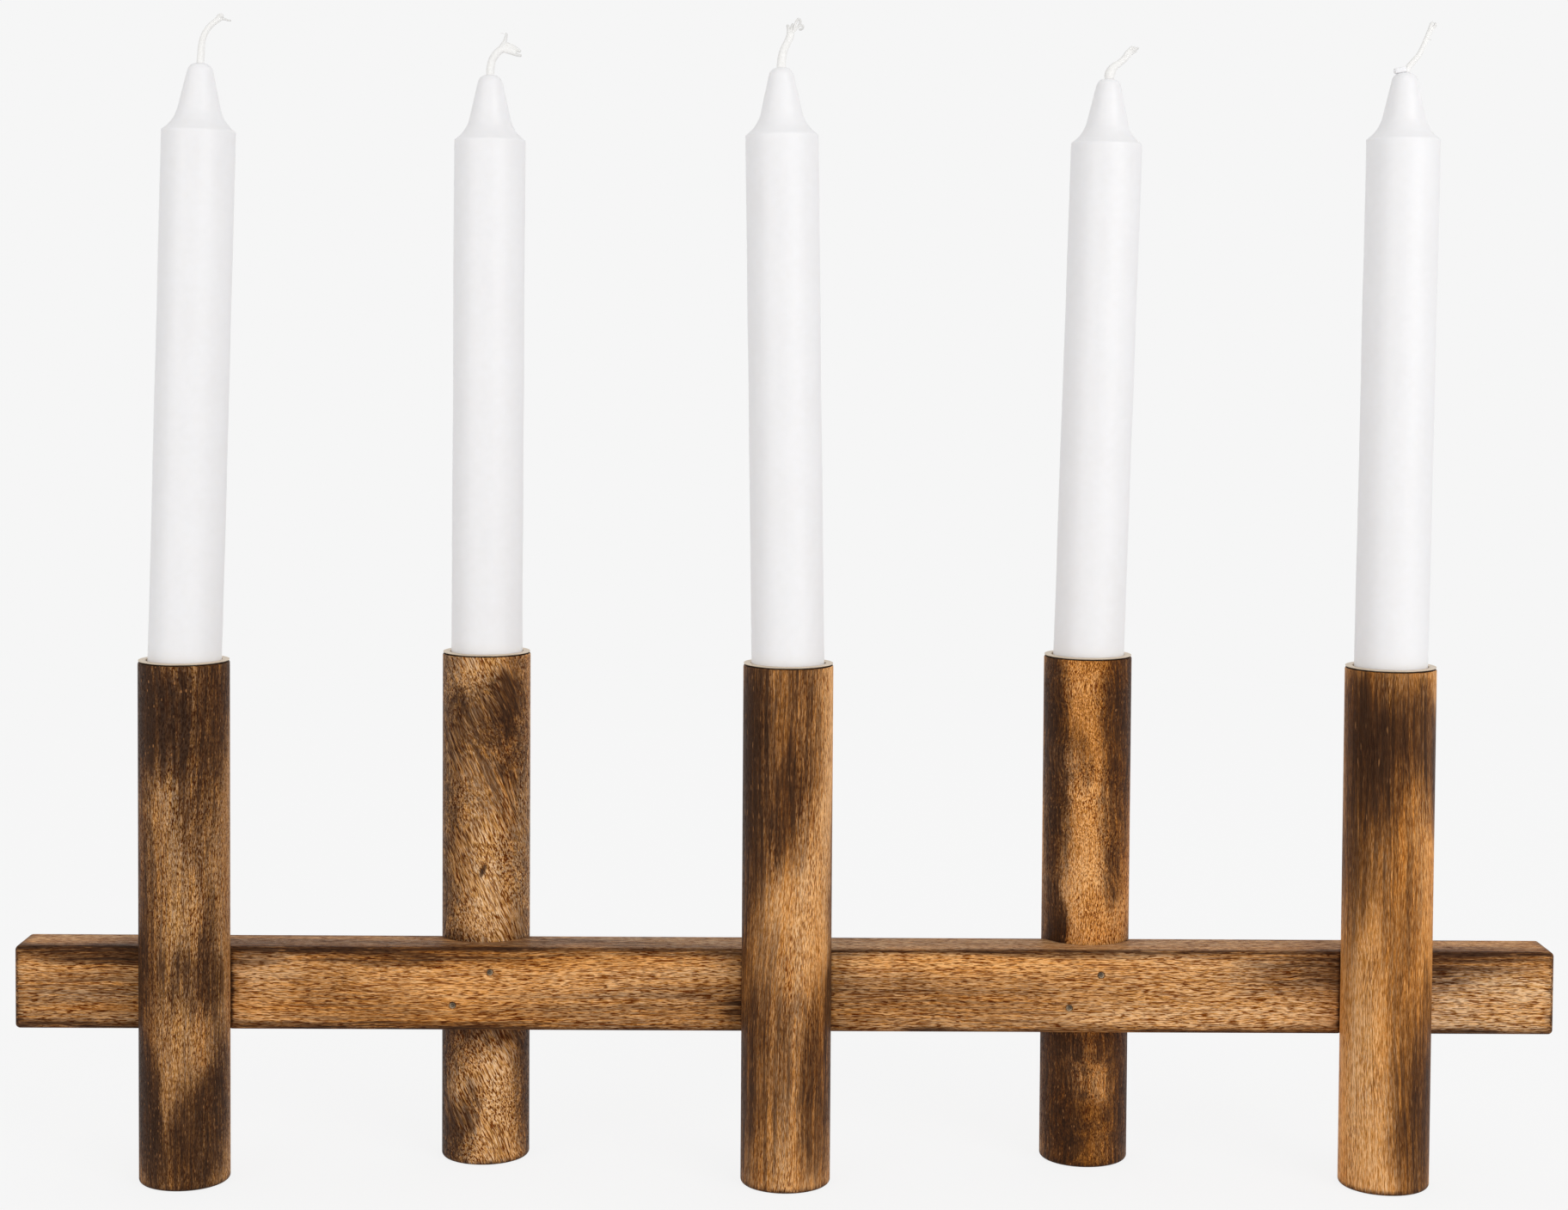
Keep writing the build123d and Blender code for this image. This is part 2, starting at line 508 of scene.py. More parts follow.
class NodeSheet:
    """A node tree being written: its methods add nodes and give back what those put out."""

    def __init__(self, tree: bpy.types.NodeTree) -> None:
        """Keep the tree that the nodes go into."""
        self.tree = tree

    def node(self, kind: str, inputs: dict[str | int, Value], **settings: object) -> bpy.types.Node:
        """Add a node.

        Args:
            kind: Blender's name for the kind of node.
            inputs: a link or a plain value for each named or numbered input.
            settings: the node's own options.

        Returns:
            The node.
        """
        made = self.tree.nodes.new(kind)
        for key, setting in settings.items():
            setattr(made, key, setting)
        self.feed(made, inputs)
        return made

    def feed(self, node: bpy.types.Node, inputs: dict[str | int, Value]) -> None:
        """Link or set some inputs of a node.

        Args:
            node: the node.
            inputs: a link or a plain value for each named or numbered input.
        """
        for key, value in inputs.items():
            if isinstance(value, bpy.types.NodeSocket):
                self.tree.links.new(value, node.inputs[key])
            else:
                node.inputs[key].default_value = value

    def math(self, operation: str, first: Value, second: Value) -> Socket:
        """Combine two numbers."""
        return self.node("ShaderNodeMath", {0: first, 1: second}, operation=operation).outputs[0]

    def stretched(self, vector: Socket, scale: Triple) -> Socket:
        """Multiply a vector part by part."""
        inputs = {0: vector, 1: scale}
        return self.node("ShaderNodeVectorMath", inputs, operation="MULTIPLY").outputs[0]

    def noise(self, vector: Socket, scale: Value, detail: float, roughness: float = 0.5) -> Socket:
        """Read soft noise, 0 to 1, at a vector."""
        inputs = {"Vector": vector, "Scale": scale, "Detail": detail, "Roughness": roughness}
        return self.node("ShaderNodeTexNoise", inputs).outputs[0]

    def cells(self, vector: Socket, scale: Triple) -> bpy.types.Node:
        """Scatter points through a stretched vector and find the nearest."""
        inputs = {"Vector": self.stretched(vector, scale), "Scale": 1.0}
        return self.node("ShaderNodeTexVoronoi", inputs)

    def streaks(self, vector: Socket, lay: NoiseLay) -> Socket:
        """Read stretched noise, 0 to 1, at a vector."""
        return self.noise(self.stretched(vector, lay.stretch), 1.0, lay.detail, lay.roughness)

    def span(self, value: Socket, low: float, high: float, start: float, end: float) -> Socket:
        """Carry a value smoothly from start, where it is at low, to end, where it is at high."""
        inputs = {"Value": value, "From Min": low, "From Max": high, "To Min": start, "To Max": end}
        return self.node("ShaderNodeMapRange", inputs, interpolation_type="SMOOTHSTEP").outputs[0]

    def swing(self, noise: Socket, start: float, end: float) -> Socket:
        """Carry noise smoothly from start to end over the middle of its range, where most of it lies."""
        return self.span(noise, *NOISE_MIDDLE, start, end)

    def pick(self, cells: bpy.types.Node, channel: int) -> Socket:
        """Read one random number, 0 to 1, that is the same all over a cell."""
        return self.node("ShaderNodeSeparateColor", {0: cells.outputs["Color"]}).outputs[channel]

    def bump(self, height: Socket, strength: float, distance: float) -> Socket:
        """Tilt the normal by a height."""
        inputs = {"Height": height, "Strength": strength, "Distance": distance}
        return self.node("ShaderNodeBump", inputs).outputs[0]

    def ramp(self, value: Socket, stops: list[tuple[float, Colour]]) -> Socket:
        """Look a value up on a run of colours.

        Args:
            value: the value.
            stops: each colour's place on the run, and the colour.

        Returns:
            The colour.
        """
        made = self.node("ShaderNodeValToRGB", {0: value})
        elements = made.color_ramp.elements
        while len(elements) < len(stops):
            elements.new(1.0)
        for element, (place, tint) in zip(elements, stops):
            element.position = place
            element.color = tint
        return made.outputs[0]

    def blend(self, kind: str, share: Value, first: Value, second: Value) -> Socket:
        """Mix two colours."""
        inputs = {0: share, 6: first, 7: second}
        return self.node("ShaderNodeMix", inputs, data_type="RGBA", blend_type=kind).outputs[2]

    def attribute(self, name: str, output: str) -> Socket:
        """Read a value that the mesh carries."""
        return self.node("ShaderNodeAttribute", {}, attribute_name=name).outputs[output]

    def place(self) -> Socket:
        """Read the point's place in metres."""
        return self.node("ShaderNodeTexCoord", {}).outputs["Object"]


def new_group(name: str, inputs: dict[str, str], outputs: dict[str, str]) -> NodeSheet:
    """Start a shader node group with named sockets.

    Args:
        name: the group's name.
        inputs: each input's name and kind.
        outputs: each output's name and kind.

    Returns:
        A sheet for the group's nodes.
    """
    group = bpy.data.node_groups.new(name, "ShaderNodeTree")
    for label, kind in inputs.items():
        group.interface.new_socket(label, in_out="INPUT", socket_type=kind)
    for label, kind in outputs.items():
        group.interface.new_socket(label, in_out="OUTPUT", socket_type=kind)
    return NodeSheet(group)


FIBRE = NoiseLay((1.8, 1.8, 0.065), 4.0, 0.65)
THREAD = NoiseLay((2.6, 2.6, 0.55), 3.0, 0.65)
BAND = NoiseLay((0.55, 0.55, 0.016), 4.0, 0.6)
CLOUD = NoiseLay((0.34, 0.34, 0.12), 3.0)
STROKE = NoiseLay((1.85, 1.85, 0.5), 1.0, 0.6)

# Pores and flecks: a pair is the low and high of a span, and four numbers are a whole span
BOLD_PORE_STRETCH = (1.0, 1.0, 0.08)
BOLD_PORE_EDGE = (0.26, 0.36)
BOLD_PORE_PICK = (0.3, 0.8)
FINE_PORE_EDGE = (0.38, 0.5)
FINE_PORE_FIBRE = (0.3, 0.65, 1.4, 0.85)
FLECK_STRETCH = (0.7, 0.7, 0.26)
FLECK_EDGE = (0.12, 0.3)
FLECK_PICK = (0.5, 0.95)
FLECK_CHAR = (0.3, 0.65)

# Light and burning: a pair is the start and end of a swing
FIBRE_LIGHT = (0.28, 0.78)
BAND_LIGHT = (-0.15, 0.15)
THREAD_LIGHT = (-0.5, 0.5)
FIBRE_BURN = (-0.26, 0.26)
BAND_BURN = (-0.4, 0.4)
CLOUD_BURN = (-0.13, 0.13)
BURN_EDGE_END = 1.3
BURN_EDGE_GAIN = 1.8
SOOT_VEIL = (0.35, 0.8, 0.0, 0.45)
FIBRE_ROUGHNESS = (0.2, 0.8, 0.38, 0.5)
PORE_ROUGHNESS = 0.2
FIBRE_RELIEF = 0.25
FLECK_RELIEF = 0.4

COOL_TINT = (0.99, 1.08, 1.58, 1.0)
WARM_TINT = (1.08, 0.88, 0.69, 1.0)
PORE_TINT = (0.26, 0.115, 0.01, 1.0)
FLECK_COLOUR = colour(162, 112, 68)
WOOD_COLOURS = [
    (0.0, (0.28, 0.116, 0.018, 1.0)),
    (0.5, (0.715, 0.32, 0.064, 1.0)),
    (1.0, (0.95, 0.6, 0.245, 1.0)),
]
BURN_TINTS = [
    (0.0, (1.0, 1.0, 1.0, 1.0)),
    (0.25, (0.51, 0.5, 0.53, 1.0)),
    (0.5, (0.26, 0.238, 0.24, 1.0)),
    (0.75, (0.132, 0.114, 0.12, 1.0)),
    (1.0, (0.067, 0.056, 0.062, 1.0)),
]
SOOT_COLOURS = [
    (0.4, colour(118, 78, 47)),
    (0.7, colour(84, 54, 33)),
    (1.0, colour(60, 39, 25)),
]


@cache
def torched_grain() -> bpy.types.NodeTree:
    """Build the figure of torched, open-pored hardwood.

    The grain vector is in millimetres and its third part runs along the fibres. Long cells and
    short strokes are the pores, stretched noise the fibres and the growth bands. Scorch darkens
    the wood, eats further along some fibres than along others and leaves a sooty veil.

    Returns:
        The node group.
    """
    inputs = {"Grain": VECTOR, "Tone": FLOAT, "Warmth": FLOAT, "Scorch": FLOAT, "Pores": FLOAT}
    outputs = {"Color": COLOUR, "Roughness": FLOAT, "Height": FLOAT}
    sheet = new_group("torched_grain", inputs, outputs)
    given = sheet.node("NodeGroupInput", {}).outputs
    grain, scorch = given["Grain"], given["Scorch"]
    lays = (FIBRE, THREAD, BAND, CLOUD, STROKE)
    fibre, thread, band, cloud, stroke = (sheet.streaks(grain, lay) for lay in lays)

    # Pores: bold ones with a strength of their own, and fine ones that follow the darker fibres
    bold = sheet.cells(grain, BOLD_PORE_STRETCH)
    bold_pore = sheet.span(bold.outputs["Distance"], *BOLD_PORE_EDGE, 1.0, 0.0)
    strength = sheet.span(sheet.pick(bold, 0), *BOLD_PORE_PICK, 0.0, 1.0)
    bold_pore = sheet.math("MULTIPLY", bold_pore, strength)
    fine_pore = sheet.span(stroke, *FINE_PORE_EDGE, 1.0, 0.0)
    fine_pore = sheet.math("MULTIPLY", fine_pore, sheet.span(fibre, *FINE_PORE_FIBRE))
    pore = sheet.math("MULTIPLY", sheet.math("MAXIMUM", bold_pore, fine_pore), given["Pores"])

    # Bare wood: lighter and darker by fibre, band and thread
    light = sheet.math("ADD", given["Tone"], sheet.swing(fibre, *FIBRE_LIGHT))
    light = sheet.math("ADD", light, sheet.swing(band, *BAND_LIGHT))
    light = sheet.math("ADD", light, sheet.swing(thread, *THREAD_LIGHT))
    tint = sheet.blend("MIX", given["Warmth"], COOL_TINT, WARM_TINT)
    ground = sheet.blend("MULTIPLY", 1.0, sheet.ramp(light, WOOD_COLOURS), tint)
    pored = sheet.blend("MULTIPLY", pore, ground, PORE_TINT)

    # Burning: its soft edges are the most uneven, between bare and fully scorched wood
    streak = sheet.math("ADD", sheet.swing(fibre, *FIBRE_BURN), sheet.swing(band, *BAND_BURN))
    uneven = sheet.math("ADD", streak, sheet.swing(cloud, *CLOUD_BURN))
    edge = sheet.math("MULTIPLY", scorch, sheet.math("SUBTRACT", BURN_EDGE_END, scorch))
    eaten = sheet.math("MULTIPLY", uneven, edge)
    char = sheet.math("ADD", scorch, sheet.math("MULTIPLY", eaten, BURN_EDGE_GAIN))
    burnt = sheet.blend("MULTIPLY", 1.0, pored, sheet.ramp(char, BURN_TINTS))
    veil = sheet.span(char, *SOOT_VEIL)
    burnt = sheet.blend("MIX", veil, burnt, sheet.ramp(char, SOOT_COLOURS))

    # Flecks: short light fibres that stand out of the char
    fleck = sheet.cells(grain, FLECK_STRETCH)
    spark = sheet.span(fleck.outputs["Distance"], *FLECK_EDGE, 1.0, 0.0)
    spark = sheet.math("MULTIPLY", spark, sheet.span(sheet.pick(fleck, 2), *FLECK_PICK, 0.0, 1.0))
    spark = sheet.math("MULTIPLY", spark, sheet.span(char, *FLECK_CHAR, 0.0, 1.0))
    flecked = sheet.blend("MIX", spark, burnt, FLECK_COLOUR)

    dull = sheet.math("MULTIPLY", pore, PORE_ROUGHNESS)
    rough = sheet.math("ADD", sheet.span(fibre, *FIBRE_ROUGHNESS), dull)
    worn = sheet.math("SUBTRACT", sheet.math("MULTIPLY", fibre, FIBRE_RELIEF), pore)
    height = sheet.math("ADD", worn, sheet.math("MULTIPLY", spark, FLECK_RELIEF))
    sheet.node("NodeGroupOutput", {"Color": flecked, "Roughness": rough, "Height": height})
    return sheet.tree


@cache
def soft_mottle() -> bpy.types.NodeTree:
    """Build a cloudy unevenness, coarse and fine, that wax, metal and cotton share.

    Returns:
        The node group.
    """
    inputs = {"Place": VECTOR, "Scale": FLOAT, "Light": COLOUR, "Dark": COLOUR}
    outputs = {"Color": COLOUR, "Height": FLOAT}
    sheet = new_group("soft_mottle", inputs, outputs)
    given = sheet.node("NodeGroupInput", {}).outputs
    fineness, coarse_share = 7.0, 0.6
    coarse = sheet.noise(given["Place"], given["Scale"], detail=3.0)
    fine_scale = sheet.math("MULTIPLY", given["Scale"], fineness)
    fine = sheet.noise(given["Place"], fine_scale, detail=2.0)
    coarse_part = sheet.math("MULTIPLY", coarse, coarse_share)
    height = sheet.math("ADD", coarse_part, sheet.math("MULTIPLY", fine, 1.0 - coarse_share))
    shade = sheet.blend("MIX", sheet.swing(height, 0.0, 1.0), given["Dark"], given["Light"])
    sheet.node("NodeGroupOutput", {"Color": shade, "Height": height})
    return sheet.tree


def new_material(name: str) -> tuple[bpy.types.Material, NodeSheet, bpy.types.Node]:
    """Start a material: its tree is emptied but for a Principled shader and the output.

    Args:
        name: the material's name.

    Returns:
        The material, a sheet for its nodes and its shader.
    """
    material = bpy.data.materials.new(name)
    material.use_nodes = True
    material.node_tree.nodes.clear()
    sheet = NodeSheet(material.node_tree)
    shader = sheet.node("ShaderNodeBsdfPrincipled", {})
    sheet.node("ShaderNodeOutputMaterial", {"Surface": shader.outputs[0]})
    return material, sheet, shader


@dataclass(frozen=True)
class WoodFinish:
    """Torched and oiled hardwood, on the figure that each wooden piece carries."""

    name: str
    specular: float = 0.07
    bump_strength: float = 0.6
    relief: float = 0.0003

    def material(self) -> bpy.types.Material:
        """Make the material.

        Returns:
            The material, which reads the grain and the stains from the mesh.
        """
        material, sheet, shader = new_material(self.name)
        inputs = {"Grain": sheet.attribute("grain", "Vector")}
        for label in ("Tone", "Warmth", "Scorch", "Pores"):
            inputs[label] = sheet.attribute(label.lower(), "Fac")
        figure = sheet.node("ShaderNodeGroup", inputs, node_tree=torched_grain()).outputs
        looks = {
            "Base Color": figure["Color"],
            "Roughness": figure["Roughness"],
            "Normal": sheet.bump(figure["Height"], self.bump_strength, self.relief),
            "Specular IOR Level": self.specular,
        }
        sheet.feed(shader, looks)
        return material


@dataclass(frozen=True)
class MottledFinish:
    """A plain stuff with a soft unevenness: wax, metal or cotton."""

    name: str
    light: Colour
    dark: Colour
    scale: float
    roughness: float
    roughness_swing: float = 0.2
    metallic: float = 0.0
    specular: float = 0.5
    bump_strength: float = 0.5
    relief: float = 0.0001
    glow: float = 0.0
    glow_reach: float = 0.002
    glow_tint: Triple = (1.0, 0.95, 0.9)
    sheen: float = 0.0
    vector: str = ""
    shade: str = ""

    def material(self) -> bpy.types.Material:
        """Make the material.

        Returns:
            The material, mottled over the mesh's own vector or else over its places.
        """
        material, sheet, shader = new_material(self.name)
        place = sheet.attribute(self.vector, "Vector") if self.vector else sheet.place()
        inputs = {"Place": place, "Scale": self.scale, "Light": self.light, "Dark": self.dark}
        figure = sheet.node("ShaderNodeGroup", inputs, node_tree=soft_mottle()).outputs
        tint = figure["Color"]
        if self.shade:
            tint = sheet.blend("MULTIPLY", 1.0, tint, sheet.attribute(self.shade, "Color"))
        smooth = self.roughness * (1.0 - self.roughness_swing)
        dull = self.roughness * (1.0 + self.roughness_swing)
        looks = {
            "Base Color": tint,
            "Roughness": sheet.swing(figure["Height"], smooth, dull),
            "Normal": sheet.bump(figure["Height"], self.bump_strength, self.relief),
            "Metallic": self.metallic,
            "Specular IOR Level": self.specular,
            "Subsurface Weight": self.glow,
            "Subsurface Scale": self.glow_reach,
            "Subsurface Radius": self.glow_tint,
            "Sheen Weight": self.sheen,
        }
        sheet.feed(shader, looks)
        return material


@dataclass(frozen=True)
class Stain:
    """One soft-edged mark on a wooden surface, by its place round the wood and along it."""

    round: float
    along: float
    half_round: float
    half_along: float
    scorch: float = 0.0
    tone: float = 0.0
    warmth: float = 0.0
    lean: float = 0.0

    def weight(self, round_place: Floats, along: Floats, period: float) -> Floats:
        """Say how much of the mark lies at each place.

        Formula: one within about a third of the mark's reach, falling smoothly to zero a little
        past it, on an oval that leans round as it goes along.

        Args:
            round_place: distance round the wood.
            along: distance along the wood.
            period: the whole way round.

        Returns:
            A weight from 0 to 1 for each place.
        """
        aside = round_place - self.round - self.lean * (along - self.along)
        aside = (aside + period / 2.0) % period - period / 2.0
        reach = np.hypot(aside / self.half_round, (along - self.along) / self.half_along)
        full, gone = 0.35, 1.2
        return 1.0 - smoothstep(full, gone, reach)


class WoodNoise(Enum):
    """The soft noises that shape one wooden piece: a step of its seed and a cell size in metres."""

    BEND = (0, (0.02, 0.02, 0.045))
    SINK = (1, (0.02, 0.02, 0.045))
    SHIFT = (2, (0.007, 0.007, 0.012))
    PUSH = (3, (0.007, 0.007, 0.012))
    PATCH = (4, (0.011, 0.011, 0.05))
    HUE = (6, (0.0035, 0.0035, 0.05))
    CROWD = (7, (0.0035, 0.0035, 0.016))
    QUICK = (8, (0.005, 0.005, 0.011))
    CHAR = (9, (0.004, 0.004, 0.014))

    def at(self, seed: int, solid: Floats) -> Floats:
        """Read the noise of a piece at some points."""
        step, size = self.value
        return SoftNoise(seed + step).at(solid, size)


@dataclass(frozen=True)
class GrainLay:
    """How the fibres run through one wooden piece, and its colour before burning."""

    seed: int
    slope: float = 0.0
    dive: float = 0.0
    dive_length: float = 0.05
    pinch: float = 0.0
    pinch_from: float = 0.0
    wander: float = 0.0012
    ripple: float = 0.0005
    figure: float = 0.0
    figure_length: float = 0.009
    figure_width: float = 0.016
    figure_slant: float = 0.3
    figure_step: int = 5
    pore_size: float = 1.0
    pore_length: float = 1.0
    pores: float = 0.95
    tone: float = 0.0
    warmth: float = 0.5
    drift: float = 0.1
    warmth_bend: float = 0.15
    warmth_hue: float = 0.3
    pore_crowd: float = 0.4
    stain_shift: float = 0.0016
    stain_push: float = 0.003
    seed_spacing: float = 0.061

    def figure_at(self, solid: Floats) -> Floats:
        """Read the light and dark bars that lie slanting across the fibres.

        Args:
            solid: places in metres as across, depth and along the fibres.

        Returns:
            A value from -1 to 1 for each point.
        """
        barred = solid + self.figure_slant * solid[:, :1] * np.array([0.0, 0.0, 1.0])
        cell = (self.figure_width, self.figure_width, self.figure_length)
        return SoftNoise(self.seed + self.figure_step).at(barred, cell)

    def looks(
        self,
        solid: Floats,
        round_place: Floats,
        period: float,
        stains: list[Stain],
        burn_and_shade: Floats,
    ) -> dict[str, Floats]:
        """Work out the values that the wood finish reads.

        Formula: the fibres are straight lines that narrow, slope, dive in waves and wander with
        soft noise, so a point's grain place is its own place with those shifts added. Marks add
        up like layers of smoke, on places shifted by soft noise.

        Args:
            solid: places in metres as across, depth and along the fibres.
            round_place: distance round the wood.
            period: the whole way round.
            stains: the marks.
            burn_and_shade: burning along the arrises, and painted shade where parts meet, 0 to 1.

        Returns:
            Grain, tone, warmth, scorch with the painted shade in it, and the pores' strength for each
            point.
        """
        across, depth, along = solid.T

        def read(kind: WoodNoise) -> Floats:
            """Read one of the piece's noises at its points."""
            return kind.at(self.seed, solid)

        bend = read(WoodNoise.BEND)
        wave = np.sin(2.0 * math.pi * along / self.dive_length + 2.0 * bend)
        fibre_across = across * (1.0 + self.pinch * (self.pinch_from - along)) + self.slope * along
        fibre_across = fibre_across + self.wander * bend + self.ripple * read(WoodNoise.QUICK)
        fibre_depth = depth + self.dive * wave + self.wander * read(WoodNoise.SINK)
        apart = self.seed_spacing * self.seed
        grain = np.stack([fibre_across + apart, fibre_depth, along - apart], axis=-1)
        grain *= MILLIMETRES / self.pore_size / np.array([1.0, 1.0, self.pore_length])

        moved_round = round_place + self.stain_shift * read(WoodNoise.SHIFT)
        moved_along = along + self.stain_push * read(WoodNoise.PUSH)
        # The burn and the painted shade both darken the wood through scorch
        clean = 1.0 - burn_and_shade
        tone = self.tone + self.drift * read(WoodNoise.PATCH) + self.figure * self.figure_at(solid)
        warmth = self.warmth + self.warmth_bend * bend + self.warmth_hue * read(WoodNoise.HUE)
        open_pores = np.clip(self.pores + self.pore_crowd * read(WoodNoise.CROWD), 0.0, 1.0)
        for stain in stains:
            weight = stain.weight(moved_round, moved_along, period)
            clean = clean * (1.0 - stain.scorch * weight)
            tone = tone + stain.tone * weight
            warmth = warmth + stain.warmth * weight
        return {
            "grain": grain,
            "tone": tone,
            "warmth": np.clip(warmth, 0.0, 1.0),
            "scorch": 1.0 - clean,
            "pores": open_pores,
        }


def stray_stains(seed: int, count: int, middle: float, spread: float, length: float) -> list[Stain]:
    """Scatter torch marks on the side of the wood that faces away.

    Args:
        seed: start of the random draw.
        count: how many marks.
        middle: where that side's middle lies round the wood.
        spread: how far from it the marks reach.
        length: how far along the wood they reach.

    Returns:
        The marks.
    """
    half_round, half_along, scorch = (0.005, 0.0105), (0.02, 0.055), (0.25, 0.7)
    ranges = ((middle - spread, middle + spread), (0.0, length), half_round, half_along, scorch)
    draw = np.random.default_rng(seed)
    rows = zip(*(draw.uniform(low, high, count) for low, high in ranges))
    return [Stain(*(float(value) for value in row)) for row in rows]


def dress(
    piece: bpy.types.Object, material: bpy.types.Material, body: str, node: str
) -> None:
    """Give a piece its finish, let it ride on its body and stand for its CAD node.

    Args:
        piece: the piece.
        material: its finish.
        body: the body that it moves with.
        node: the CAD node that it stands for.
    """
    piece.data.materials.append(material)
    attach(piece, body)
    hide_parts(node)
    log.info("%s stands for %s on %s, %d points", piece.name, node, body, len(piece.data.vertices))


class Side(Enum):
    """Which face of the beam a post is set into, as a sign along Y."""

    FRONT = -1
    BACK = 1


@dataclass(frozen=True)
class PostPlan:
    """One post: its side, its fibres, its marks and where its two nails start."""

    side: Side
    lay: GrainLay
    stains: tuple[Stain, ...]
    nail_offset_shares: Pair


@dataclass
class Post(NodePiece):
    """A round post with eased ends and the hole for its cup."""

    number: int
    plan: PostPlan
    finish: bpy.types.Material
    foot_radius: float = 0.001
    top_radius: float = 0.0005
    wall: float = 0.0017
    floor_gap: float = 0.0003
    spacing: float = 0.0008
    hole_spacing: float = 0.0032
    columns: int = 112
    foot_char: float = 0.75
    stray_count: int = 7
    stray_spread: float = 0.008
    stray_seed: int = 100

    @property
    def node(self) -> str:
        """The CAD node's name."""
        return f"post_{self.number}"

    @property
    def radius(self) -> float:
        """The post's radius."""
        return float(self.box.size[0]) / 2.0

    @property
    def axis(self) -> Floats:
        """The point under the middle of the post."""
        return self.box.centre * FLAT

    @property
    def nail_starts(self) -> Floats:
        """Where the post's two nails start along X."""
        return self.axis[0] + np.array(self.plan.nail_offset_shares) * self.radius

    def rings(self) -> Floats:
        """Turn the post's outline: foot, side, top, and the cup's hole down to its floor.

        Returns:
            Rings by columns by three, round the post's own axis.
        """
        tall, wide = float(self.box.high[2]), self.radius
        core = wide / 20.0
        hole = wide - self.wall
        hole_floor = float(NodeBox.of(f"candle_cup_{self.number}").low[2]) - self.floor_gap
        outline = Outline(core, 0.0)
        outline.run_to(wide - self.foot_radius, 0.0, self.spacing)
        outline.turn_about(wide - self.foot_radius, self.foot_radius, QUARTER_TURN, steps=6)
        outline.run_to(wide, tall - self.top_radius, self.spacing)
        outline.turn_about(wide - self.top_radius, tall - self.top_radius, QUARTER_TURN, steps=4)
        outline.run_to(hole, tall, self.spacing)
        outline.run_to(hole, hole_floor, self.hole_spacing)
        outline.run_to(core, hole_floor, self.hole_spacing)
        return outline.spun(self.columns)

    def build(self) -> None:
        """Build and dress the post, scorched round its foot, with painted shade on its flat top."""
        surface = Surface.from_rings(self.rings(), Ends.POLES)
        solid = surface.points.copy()
        around = np.arctan2(solid[:, 0], -solid[:, 1]) * self.radius
        period = 2.0 * math.pi * self.radius
        tall = float(self.box.high[2])
        reach = np.hypot(solid[:, 0], solid[:, 1])
        ease = self.top_radius / 2.0
        # Painted shade: the flat top under the cup's flange is darkened in full, as the shadow in the gap
        # there
        flange_shade_ring = (solid[:, 2] > tall - ease) & (reach < self.radius - ease)
        burn_and_shade = np.maximum(self.foot_char * bell(solid[:, 2], self.foot_radius), flange_shade_ring)
        seed = self.stray_seed + self.number
        away = stray_stains(seed, self.stray_count, period / 2.0, self.stray_spread, tall)
        looks = self.plan.lay.looks(solid, around, period, list(self.plan.stains) + away, burn_and_shade)
        surface.points = surface.points + self.axis
        piece = surface.piece(f"wood_{self.node}", looks, crease=50.0)
        dress(piece, self.finish, HOLDER, self.node)


